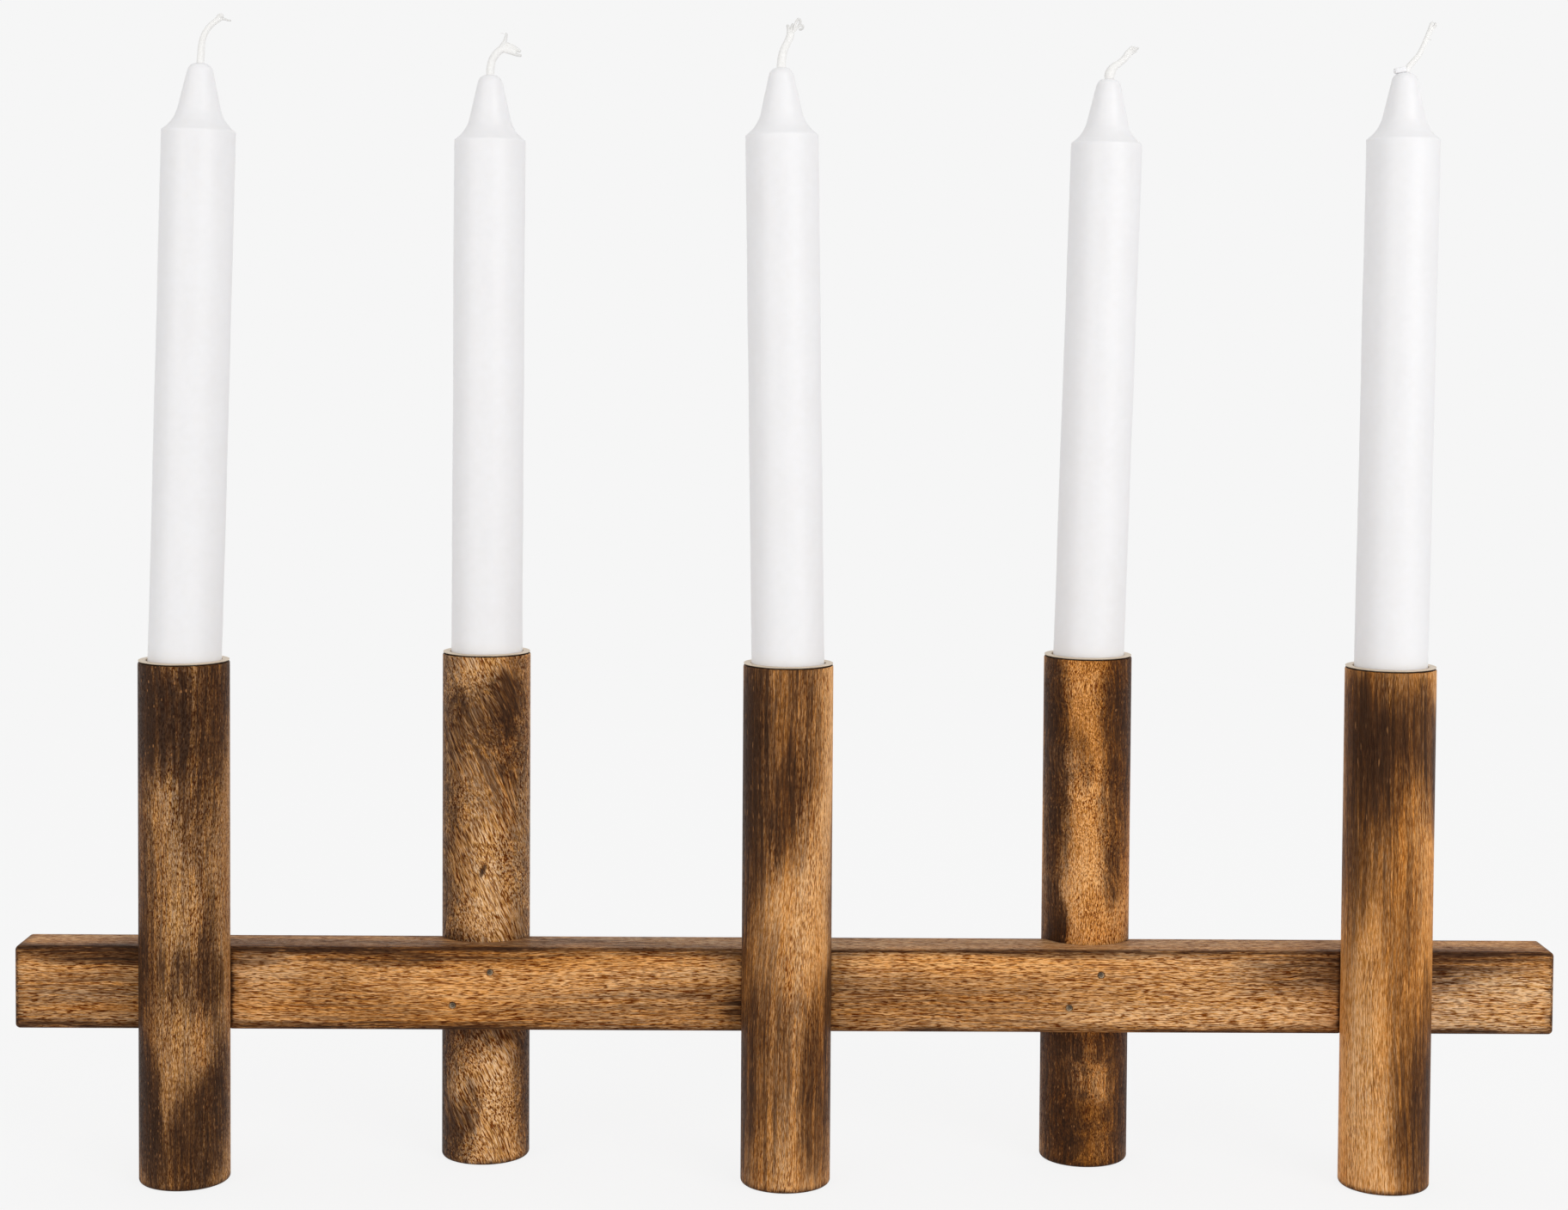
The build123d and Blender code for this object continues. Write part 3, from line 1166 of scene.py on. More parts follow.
@dataclass
class Beam(NodePiece):
    """The beam: a rounded bar with a half-deep round notch at each post and sunk nail places."""

    finish: bpy.types.Material
    posts: list[Post]
    lay: GrainLay
    stains: tuple[Stain, ...]
    edge_radius: float = 0.0014
    notch_gap: float = 0.00005
    mouth_ease: float = 0.0005
    arris_line: float = 0.00032
    line_char: Pair = (0.15, 0.7)
    char_middle: float = 0.5
    char_swing: float = 0.45
    # Where the beam meets each post: a dark line that is partly burnt edge and partly painted contact
    # shadow
    notch_burn_and_shade: float = 0.85
    notch_line_width: float = 0.0008
    spacing: float = 0.0015
    decimals: int = 5
    corner_steps: int = 10
    end_turn: Pair = (15.0, 84.0)
    end_steps: int = 6
    cap_shares: Pair = (0.9, 0.08)
    cap_steps: int = 9
    plain_part: int = 20
    nail_sink: float = 0.00025
    nail_seat: float = 0.0004
    nail_reach: float = 0.0010
    nail_ease: float = 1.2
    nail_zone: float = 0.0013
    nail_stations: int = 17
    nail_rows: int = 15
    nail_height_shares: Pair = (0.70, 0.30)

    @property
    def node(self) -> str:
        """The CAD node's name."""
        return "beam"

    @property
    def arris_middle(self) -> float:
        """How far the middle of a rounded arris lies inside its two faces, added up."""
        return 2.0 * self.edge_radius * (1.0 - math.cos(math.pi / 4.0))

    @property
    def nail_heights(self) -> Floats:
        """How high the two nails of a post start."""
        return self.box.low[2] + np.array(self.nail_height_shares) * self.box.size[2]

    def nail_places(self, side: Side) -> list[Pair]:
        """Find where the nails of one row of posts start, on the face that the row isn't in.

        Args:
            side: the face that the row of posts is in.

        Returns:
            Each nail's place along the beam and its height.
        """
        places = []
        for post in self.posts:
            if post.plan.side is side:
                places.extend(zip(post.nail_starts, self.nail_heights))
        return places

    def stations(self) -> tuple[Floats, Floats]:
        """Where the sections stand along the beam, and how round their edges are there.

        Formula: evenly spaced, closer at notch mouths and nails. At the ends the edge radius
        shrinks as the cosine of an angle whose sine carries the section outwards.

        Returns:
            The places and the edge radii.
        """
        half, edge = self.box.size[0] / 2.0, self.edge_radius
        near = np.linspace(-self.nail_zone, self.nail_zone, self.nail_stations)
        close = near[::2]
        knots = [np.linspace(edge - half, half - edge, round(2.0 * half / self.spacing))]
        for post in self.posts:
            reach = post.radius + self.notch_gap
            setback = abs(post.axis[1]) - self.box.size[1] / 2.0
            mouth = math.sqrt(reach**2 - setback**2)
            knots.extend([post.axis[0] - mouth + close, post.axis[0] + mouth + close])
        for side in Side:
            knots.extend(x + near for x, _ in self.nail_places(side))
        middle = np.unique(np.round(np.concatenate(knots), self.decimals))
        turn = np.radians(np.linspace(*self.end_turn, self.end_steps))
        ends = half - edge + edge * np.sin(turn)
        end_radii = edge * np.cos(turn)
        places = np.concatenate([-ends[::-1], middle, ends])
        return places, np.concatenate([end_radii[::-1], np.full(len(middle), edge), end_radii])

    def face(self, x: Floats, side: Side) -> Floats:
        """Where the front or back face lies along Y, notches included.

        Formula: the flat face and each notch's arc, whichever lies further in, joined by the
        smooth maximum (a + b + root of ((a - b) squared + ease squared)) / 2.

        Args:
            x: places along the beam.
            side: the face.

        Returns:
            The distance of the face from the beam's middle plane, towards that side.
        """
        flat = self.box.size[1] / 2.0
        inwards = np.full(len(x), -flat)
        for post in self.posts:
            if post.plan.side is side:
                reach = post.radius + self.notch_gap
                within = reach**2 - (x - post.axis[0]) ** 2
                arc = np.where(within > 0, np.sqrt(np.abs(within)), -reach) - abs(post.axis[1])
                gap = inwards - arc
                inwards = (inwards + arc + np.sqrt(gap**2 + self.mouth_ease**2)) / 2.0
        return -inwards

    def columns(self) -> tuple[Floats, Floats, Floats, Floats]:
        """Lay out the points of one section, round from the bottom of the front.

        Returns:
            For each column its share of the way from front to back, its share of the height, and
            the two parts of its outward direction.
        """
        tall = self.box.size[2] - 2.0 * self.edge_radius
        deep = self.box.size[1] - 2.0 * self.edge_radius
        near = np.linspace(-self.nail_zone, self.nail_zone, self.nail_rows)
        heights = np.array(self.nail_height_shares) * self.box.size[2] - self.edge_radius
        rows = [np.linspace(0.0, tall, round(tall / self.spacing))]
        rows.extend(height + near for height in heights)
        up = np.unique(np.round(np.concatenate(rows), self.decimals)) / tall
        over = np.linspace(0.0, 1.0, round(deep / self.spacing))[1:-1]
        turn = np.radians(np.linspace(0.0, 90.0, self.corner_steps))[1:-1]
        sides = (
            (np.zeros_like(up), up, (0.0, 1.0)),
            (over, np.ones_like(over), (1.0, 1.0)),
            (np.ones_like(up), up[::-1], (1.0, 0.0)),
            (over[::-1], np.zeros_like(over), (0.0, 0.0)),
        )
        share_back, share_up, aim = [], [], []
        for quarter, (backs, ups, (corner_back, corner_up)) in enumerate(sides):
            outwards = math.pi - quarter * math.pi / 2.0
            share_back.extend([backs, np.full(len(turn), corner_back)])
            share_up.extend([ups, np.full(len(turn), corner_up)])
            aim.extend([np.full(len(backs), outwards), outwards - turn])
        angle = np.concatenate(aim)
        return np.concatenate(share_back), np.concatenate(share_up), np.cos(angle), np.sin(angle)

    def dimples(self, x: Floats, z: Floats, side: Side) -> Floats:
        """Say how deep each point of a face is sunk round the nails that start there.

        Formula: down to the seat under the head within the nail's reach, easing to nothing a
        fifth further out.

        Args:
            x: places along the beam.
            z: heights.
            side: the face that the nails' posts are in, opposite to the one that is sunk.

        Returns:
            The depth at each point.
        """
        depth = self.nail_sink + self.nail_seat
        total = np.zeros(np.broadcast(x, z).shape)
        for nail_x, nail_z in self.nail_places(side):
            away = np.hypot(x - nail_x, z - nail_z)
            clear = smoothstep(self.nail_reach, self.nail_ease * self.nail_reach, away)
            total = total + depth * (1.0 - clear)
        return total

    def rings(self) -> tuple[Floats, Floats]:
        """Carry the section along the beam.

        Formula: each section is an inner rectangle, one edge radius inside the faces, pushed
        outwards by that station's radius along each column's direction. At each end the last
        section shrinks to the middle in a few flat rings.

        Returns:
            The rings, and each column's distance round a section that is clear of notches.
        """
        x, radii = self.stations()
        share_back, share_up, aim_back, aim_up = self.columns()
        front = -self.face(x, Side.FRONT) + self.edge_radius
        back = self.face(x, Side.BACK) - self.edge_radius
        low, high = self.box.low[2] + self.edge_radius, self.box.high[2] - self.edge_radius
        y = front[:, None] + share_back * (back - front)[:, None] + radii[:, None] * aim_back
        z = low + share_up * (high - low) + radii[:, None] * aim_up
        square = 0.99
        y = y + self.dimples(x[:, None], z, Side.BACK) * (aim_back < -square)
        y = y - self.dimples(x[:, None], z, Side.FRONT) * (aim_back > square)
        rings = np.stack([np.broadcast_to(x[:, None], y.shape), y, z], axis=-1)
        shrink = np.linspace(*self.cap_shares, self.cap_steps)[:, None, None]
        caps = []
        for ring in (rings[0], rings[-1]):
            centre = ring.mean(axis=0)
            caps.append(centre + shrink * (ring - centre))
        section = rings[len(x) // self.plain_part]
        steps = np.linalg.norm(np.diff(section, axis=0), axis=1)
        around = np.concatenate([[0.0], np.cumsum(steps)])
        return np.concatenate([caps[0][::-1], rings, caps[1]]), around

    def build(self) -> None:
        """Build and dress the beam, burnt along its arrises, with burn and painted shadow round the posts.
        """
        rings, around = self.rings()
        surface = Surface.from_rings(rings, Ends.POLES)
        round_place = with_poles(np.broadcast_to(around, rings.shape[:2]))
        solid = surface.points[:, [2, 1, 0]]
        middle = self.box.size / 2.0
        out_up = middle[2] - np.abs(solid[:, 0] - self.box.centre[2])
        out_back = middle[1] - np.abs(solid[:, 1])
        out_end = middle[0] - np.abs(solid[:, 2])
        reaches = np.sort(np.stack([out_up, out_back, out_end]), axis=0)
        arris = reaches[0] + reaches[1]
        rough = WoodNoise.CHAR.at(self.lay.seed, solid)
        charred = np.clip(self.char_middle + self.char_swing * rough, 0.0, 1.0)
        line_char = self.line_char[0] + self.line_char[1] * charred
        line = line_char * bell(arris - self.arris_middle, self.arris_line)
        burn_and_shade = np.maximum(charred * bell(arris, self.edge_radius), line)
        # Burnt edge and painted contact shadow along each notch mouth
        for post in self.posts:
            aside = np.hypot(solid[:, 2] - post.axis[0], solid[:, 1] - post.axis[1]) - post.radius
            burn_and_shade = np.maximum(burn_and_shade, self.notch_burn_and_shade * bell(aside, self.notch_line_width))
        period = float(around[-1] + self.spacing)
        looks = self.lay.looks(solid, round_place, period, list(self.stains), burn_and_shade)
        piece = surface.piece(f"wood_{self.node}", looks, crease=50.0)
        dress(piece, self.finish, HOLDER, self.node)


@dataclass
class NailPair:
    """The two brads of one post, driven through the beam from its other face."""

    post: Post
    beam: Beam
    finish: bpy.types.Material
    head_radius: float = 0.0009
    shank_radius: float = 0.0006
    head_height: float = 0.0005
    point_height: float = 0.0016
    dish: float = 0.00028
    dish_share: float = 0.35
    rim_share: float = 0.68
    shadow_share: float = 0.6
    shank_spacing: float = 0.002
    columns: int = 24
    # Painted shade: each head is darker on one side, towards these angles, and in its dish
    side_shade_angles: Pair = (140.0, 55.0)
    side_shade_shares: Pair = (-0.4, 0.6)
    side_shade_strength: float = 0.7
    dish_shadow: float = 0.55

    def rings(self, length: float) -> Floats:
        """Turn one brad that points down from a dished head at zero.

        Args:
            length: from its head to its point.

        Returns:
            Rings by columns by three.
        """
        core = self.head_radius / 12.0
        bevel = self.head_radius / 6.0
        head_step = self.head_height / 2.0
        dish_radius = self.dish_share * self.head_radius
        outline = Outline(core, -self.dish)
        outline.run_to(dish_radius, -self.dish, dish_radius / 3.0)
        outline.run_to(self.rim_share * self.head_radius, 0.0, self.dish / 4.0)
        outline.run_to(self.head_radius - bevel, 0.0, bevel)
        outline.turn_about(self.head_radius - bevel, -bevel, -QUARTER_TURN, steps=4)
        outline.run_to(self.head_radius, -self.head_height, head_step)
        outline.run_to(self.shank_radius, -2.0 * self.head_height, head_step)
        outline.run_to(self.shank_radius, self.point_height - length, self.shank_spacing)
        outline.run_to(core, -length, self.point_height / 3.0)
        return outline.spun(self.columns)

    def shade(self, rings: Floats, angle: float) -> Floats:
        """Paint shade into a brad's dish, and on one side of its head.

        Args:
            rings: the brad's rings.
            angle: the direction of the shaded side, in radians round the brad.

        Returns:
            A brightness for each point of the brad.
        """
        across, up, along = np.moveaxis(rings, -1, 0)
        inside = np.hypot(across, up) < self.shadow_share * self.head_radius
        sunk = np.where(inside, -along, 0.0)
        # Painted shade on one side of the head, and in the dish
        aside = across * math.cos(angle) + up * math.sin(angle)
        low, high = np.array(self.side_shade_shares) * self.head_radius
        side_shade = 1.0 - self.side_shade_strength * smoothstep(low, high, aside)
        return with_poles(side_shade * (1.0 - self.dish_shadow * smoothstep(0.0, self.dish, sunk)))

    def build(self) -> None:
        """Build and dress both nails as one piece."""
        towards_post = self.post.plan.side.value
        node = f"nails_{self.post.number}"
        rings = self.rings(float(NodeBox.of(node).size[1]))
        start = -towards_post * (self.beam.box.size[1] / 2.0 - self.beam.nail_sink)
        nails = []
        for x, z in zip(self.post.nail_starts, self.beam.nail_heights):
            driven = [x + rings[..., 0], start - towards_post * rings[..., 2], z + rings[..., 1]]
            nails.append(Surface.from_rings(np.stack(driven, axis=-1), Ends.POLES))
        shades = [self.shade(rings, angle) for angle in np.radians(self.side_shade_angles)]
        looks = {"shade": np.concatenate(shades)}
        piece = Surface.together(nails).piece(f"steel_{node}", looks, crease=40.0)
        dress(piece, self.finish, HOLDER, node)


@dataclass
class CandleCup(NodePiece):
    """A spun metal cup whose flange lies on the post's top."""

    number: int
    finish: bpy.types.Material
    wall: float = 0.0004
    flange_thickness: float = 0.0006
    flange_gap: float = 0.00033
    flange_edge: float = 0.00027
    bore_radius_gap: float = 0.00165
    lip_radius: float = 0.00012
    spacing: float = 0.0008
    columns: int = 96

    @property
    def node(self) -> str:
        """The CAD node's name."""
        return f"candle_cup_{self.number}"

    @property
    def flange_radius(self) -> float:
        """The flange's outer radius."""
        return float(self.box.size[0]) / 2.0

    @property
    def pivot(self) -> Floats:
        """The middle of the cup's bore, which the candle leans about."""
        height = (self.box.low[2] + self.wall + self.box.high[2]) / 2.0
        return np.array([self.box.centre[0], self.box.centre[1], height])

    def rings(self) -> Floats:
        """Turn the cup's outline: floor, wall, flange, lip, bore and the floor's top.

        Returns:
            Rings by columns by three, round the cup's own axis.
        """
        low = float(self.box.low[2])
        under = float(self.box.high[2]) - self.flange_thickness + self.flange_gap
        top = under + self.flange_edge
        rim, lip = self.flange_radius, self.lip_radius
        outer = rim - self.bore_radius_gap
        bore = outer - self.wall
        core = outer / 12.0
        step = self.spacing
        outline = Outline(core, low)
        outline.run_to(outer - lip, low, 3.0 * step)
        outline.turn_about(outer - lip, low + lip, QUARTER_TURN, steps=3)
        outline.run_to(outer, under, 2.0 * step)
        outline.run_to(rim - lip, under, step / 2.0)
        outline.turn_about(rim - lip, under + lip, QUARTER_TURN, steps=4)
        outline.run_to(rim, top - lip, step / 4.0)
        outline.turn_about(rim - lip, top - lip, QUARTER_TURN, steps=4)
        outline.run_to(bore + lip, top, step / 2.0)
        outline.turn_about(bore + lip, top - lip, QUARTER_TURN, steps=4)
        outline.run_to(bore, low + self.wall, step)
        outline.run_to(core, low + self.wall, step)
        return outline.spun(self.columns)

    def build(self) -> None:
        """Build and dress the cup, which carries its turned radius and height for its finish."""
        surface = Surface.from_rings(self.rings(), Ends.POLES)
        reach = np.hypot(surface.points[:, 0], surface.points[:, 1])
        turned = np.stack([reach, np.zeros(len(reach)), surface.points[:, 2]], axis=-1)
        surface.points = surface.points + self.box.centre * FLAT
        piece = surface.piece(f"metal_{self.node}", {"turned": turned * MILLIMETRES}, crease=50.0)
        dress(piece, self.finish, HOLDER, self.node)


@dataclass(frozen=True)
class LooseEnd:
    """A strand that leaves a wick's end: its route and how white it is at its tip.

    A route's rows are across, towards the viewer, up from the tip, and the radius, in millimetres.
    """

    route: Route
    tip_shade: float = 0.92


@dataclass(frozen=True)
class CandlePlan:
    """One candle: its seed, its wick's route and loose ends, and whether wax laps over its tip."""

    seed: int
    wick: Route
    loose_ends: tuple[LooseEnd, ...]
    flap: bool = False


@dataclass
class Candle(NodePiece):
    """A leaning taper candle with a hollowed conical tip, and the wick through it."""

    number: int
    plan: CandlePlan
    cup: CandleCup
    wax: bpy.types.Material
    cotton: bpy.types.Material
    tip_height: float = 0.019
    foot_chamfer: float = 0.0005
    wick_radius: float = 0.00105
    wick_fit: float = 0.00005
    core_share: float = 0.85
    hollow_shares: Pair = (0.73, 0.13)
    waist_shares: Pair = (0.57, 0.34)
    neck_shares: Pair = (0.35, 0.88)
    dome_shares: Pair = (0.26, 0.965)
    shoulder_radius: float = 0.0006
    shoulder_turn: float = 52.0
    mouth_edge: float = 0.00002
    uneven: float = 0.00007
    uneven_cell: Triple = (0.009, 0.009, 0.02)
    uneven_from: float = 3.0
    hole_spacing: float = 0.006
    foot_spacing: float = 0.0015
    chamfer_spacing: float = 0.0004
    side_spacing: float = 0.0018
    tip_spacing: float = 0.0008
    columns: int = 96
    wick_spacing: float = 0.00012
    core_steps: int = 40
    core_columns: int = 12
    braid_columns: int = 48
    strand_columns: int = 14
    ridges: int = 5
    ridge_pitch: float = 0.0046
    ridge_share: float = 0.07
    ridge_middle: float = 0.7
    flap_half: Triple = (0.00175, 0.0013, 0.0008)
    flap_place: Triple = (-0.0015, -0.0002, 0.0006)
    flap_tilt: float = 11.0
    flap_squareness: float = 0.4
    flap_rings: int = 25
    flap_columns: int = 48

    @property
    def node(self) -> str:
        """The CAD node's name."""
        return f"candle_{self.number}"

    @property
    def body(self) -> str:
        """The body that the candle and its wick move with."""
        return f"candle_{self.number}_with_wick"

    @property
    def radius(self) -> float:
        """The candle's radius: it leans along X only, so its depth is its width."""
        return float(self.box.size[1]) / 2.0

    @property
    def lean(self) -> float:
        """The candle's lean towards +X, from the direction in which it lifts out."""
        joint = next(j for j in frame["joints"] if j["child"] == self.body)
        return math.atan2(joint["axis"][0], joint["axis"][2])

    @property
    def foot(self) -> Floats:
        """The middle of the candle's foot, on its axis through the cup's middle.

        Returns:
            The point, above the lowest edge of the leaning foot.
        """
        height = self.box.low[2] + (self.radius - self.foot_chamfer) * abs(math.sin(self.lean))
        pivot = self.cup.pivot
        return np.array([pivot[0] + (height - pivot[2]) * math.tan(self.lean), pivot[1], height])

    @property
    def hole(self) -> float:
        """The radius of the wick's hole."""
        return self.wick_radius + self.wick_fit

    @property
    def length(self) -> float:
        """The candle's length from its foot to the rim of its wick hole."""
        top = self.box.high[2] - self.hole * abs(math.sin(self.lean))
        return float((top - self.foot[2]) / math.cos(self.lean))

    def placed(self, points: Floats) -> Floats:
        """Lean points that stand on Z and set them on the candle's foot."""
        return leaned(points, self.lean) + self.foot

    def tip_point(self, radius_and_height: Pair) -> Floats:
        """A point of the tip's outline from its shares of the radius and of the tip's height."""
        wide, tall = radius_and_height
        return np.array([wide * self.radius, self.length - self.tip_height + tall * self.tip_height])

    def wax_rings(self) -> Floats:
        """Turn the candle's outline, a closed loop round its wick hole, and make it uneven.

        Formula: the turned radius swells and shrinks with soft noise by a few hundredths of a
        millimetre.

        Returns:
            Rings by columns by three, on Z from the foot.
        """
        hole, ease = self.hole, self.shoulder_radius
        shoulder = self.length - self.tip_height
        mouth = np.array([hole + self.mouth_edge, self.length])
        outline = Outline(hole, self.length)
        outline.run_to(hole, 0.0, self.hole_spacing)
        outline.run_to(self.radius - self.foot_chamfer, 0.0, self.foot_spacing)
        outline.run_to(self.radius, self.foot_chamfer, self.chamfer_spacing)
        outline.run_to(self.radius, shoulder - ease, self.side_spacing)
        outline.turn_about(self.radius - ease, shoulder - ease, self.shoulder_turn, steps=7)
        outline.curve_to(self.tip_point(self.hollow_shares), self.tip_point(self.waist_shares), steps=18)
        outline.run_to(*self.tip_point(self.neck_shares), self.tip_spacing)
        outline.curve_to(self.tip_point(self.dome_shares), mouth, steps=10)
        rings = outline.spun(self.columns)
        noise = SoftNoise(self.plan.seed).at(rings.reshape(-1, 3), self.uneven_cell)
        reach = np.hypot(rings[..., 0], rings[..., 1])
        outside = smoothstep(hole, self.uneven_from * hole, reach)
        swell = 1.0 + self.uneven * noise.reshape(reach.shape) * outside / reach
        return rings * np.stack([swell, swell, np.ones_like(swell)], axis=-1)

    def flap(self) -> Surface:
        """Make the flap of wax that lies tilted on the tip.

        Formula: an ellipsoid over latitude and longitude whose sines and cosines are raised to a
        power below one, which squares its edges.

        Returns:
            The flap.
        """
        steepest = 88.0
        latitude = np.radians(np.linspace(-steepest, steepest, self.flap_rings))[:, None]
        longitude = around_angles(self.flap_columns)[None, :]

        def squared(values: Floats) -> Floats:
            """Raise the size of some values to the power and keep their signs."""
            return np.sign(values) * np.abs(values) ** self.flap_squareness

        across = squared(np.cos(latitude)) * squared(np.cos(longitude))
        depth = squared(np.cos(latitude)) * squared(np.sin(longitude))
        up = squared(np.sin(latitude)) * np.ones_like(longitude)
        block = np.stack([across, depth, up], axis=-1) * np.array(self.flap_half)
        middle = np.array(self.flap_place) + np.array([0.0, 0.0, self.length])
        tilted = leaned(block, -math.radians(self.flap_tilt))
        return Surface.from_rings(self.placed(tilted + middle), Ends.POLES)

    def build_wax(self) -> None:
        """Build and dress the candle."""
        surface = Surface.from_rings(self.placed(self.wax_rings()), Ends.LOOP)
        if self.plan.flap:
            surface = Surface.together([surface, self.flap()])
        piece = surface.piece(f"wax_{self.node}", {}, crease=35.0)
        dress(piece, self.wax, self.body, self.node)

    def free_line(self, route: Route) -> Floats:
        """Read a route's smooth line, in metres on Z from the candle's foot, with its radii."""
        rows = np.array(route) * np.array([1.0, -1.0, 1.0, 1.0]) / MILLIMETRES
        return smooth_line(rows, self.wick_spacing) + np.array([0.0, 0.0, self.length, 0.0])

    def braided(self) -> Surface:
        """Make the free length of the wick.

        Formula: a tube whose radius swells on two sets of ridges that wind round it in opposite
        directions, each the size of the cosine of half the ridges' turn, and which ends round.

        Returns:
            The braided length.
        """
        line = self.free_line(self.plan.wick)
        along = math.pi * self.wick_spacing * np.arange(len(line))[:, None] / self.ridge_pitch
        turn = self.ridges * around_angles(self.braid_columns) / 2.0
        wind = self.ridges * along
        ridge = (np.abs(np.cos(turn + wind)) + np.abs(np.cos(turn - wind))) / 2.0
        swell = 1.0 + self.ridge_share * (ridge - self.ridge_middle)
        radii = ball_end(line[:, 3], self.wick_spacing)[:, None] * swell
        return tube(line[:, :3], radii, self.braid_columns)

    def build_wick(self) -> None:
        """Build and dress the wick: a core through the wax, the braided length and the loose ends."""
        core = np.linspace(0.0, self.length, self.core_steps)[:, None] * np.array([0.0, 0.0, 1.0])
        core_radii = np.full(len(core), self.core_share * self.wick_radius)
        surfaces = [tube(core, core_radii, self.core_columns), self.braided()]
        shades = [np.ones(len(surface.points)) for surface in surfaces]
        for end in self.plan.loose_ends:
            line = self.free_line(end.route)
            radii = ball_end(line[:, 3], self.wick_spacing)
            surfaces.append(tube(line[:, :3], radii, self.strand_columns))
            fade = np.linspace(1.0, end.tip_shade, len(line))
            shades.append(with_poles(np.repeat(fade[:, None], self.strand_columns, axis=1)))
        wick = Surface.together(surfaces)
        looks = {"twist": wick.points * MILLIMETRES, "shade": np.concatenate(shades)}
        wick.points = self.placed(wick.points)
        node = f"wick_{self.number}"
        piece = wick.piece(f"cotton_{node}", looks, crease=60.0)
        dress(piece, self.cotton, self.body, node)


def facing(place: Floats, ahead: Floats, roll: float = 0.0) -> Matrix:
    """Stand a camera or lamp at a place, looking ahead with Z up but for a roll.

    Args:
        place: where it stands.
        ahead: the unit direction that it looks in.
        roll: how far it is turned about that direction, in radians.

    Returns:
        Its matrix.
    """
    level = np.cross(ahead, np.array([0.0, 0.0, 1.0]))
    level /= np.linalg.norm(level)
    upright = np.cross(level, ahead)
    right = level * math.cos(roll) + upright * math.sin(roll)
    up = upright * math.cos(roll) - level * math.sin(roll)
    columns = np.stack([right, up, -ahead, place], axis=-1)
    return Matrix(np.vstack([columns, [0.0, 0.0, 0.0, 1.0]]).tolist())


@dataclass(frozen=True)
class Softbox:
    """A square soft lamp that faces the middle of the holder: place and side in metres, watts."""

    name: str
    place: Triple
    side: float
    power: float
    tint: Triple
    target: Triple = (0.0, 0.0, 0.17)

    def hang(self) -> None:
        """Hang the lamp in the scene."""
        lamp = bpy.data.lights.new(self.name, "AREA")
        lamp.size = self.side
        lamp.energy = self.power
        lamp.color = self.tint
        made = bpy.data.objects.new(self.name, lamp)
        ahead = np.array(self.target) - np.array(self.place)
        made.matrix_world = facing(np.array(self.place), ahead / np.linalg.norm(ahead))
        bpy.context.scene.collection.objects.link(made)


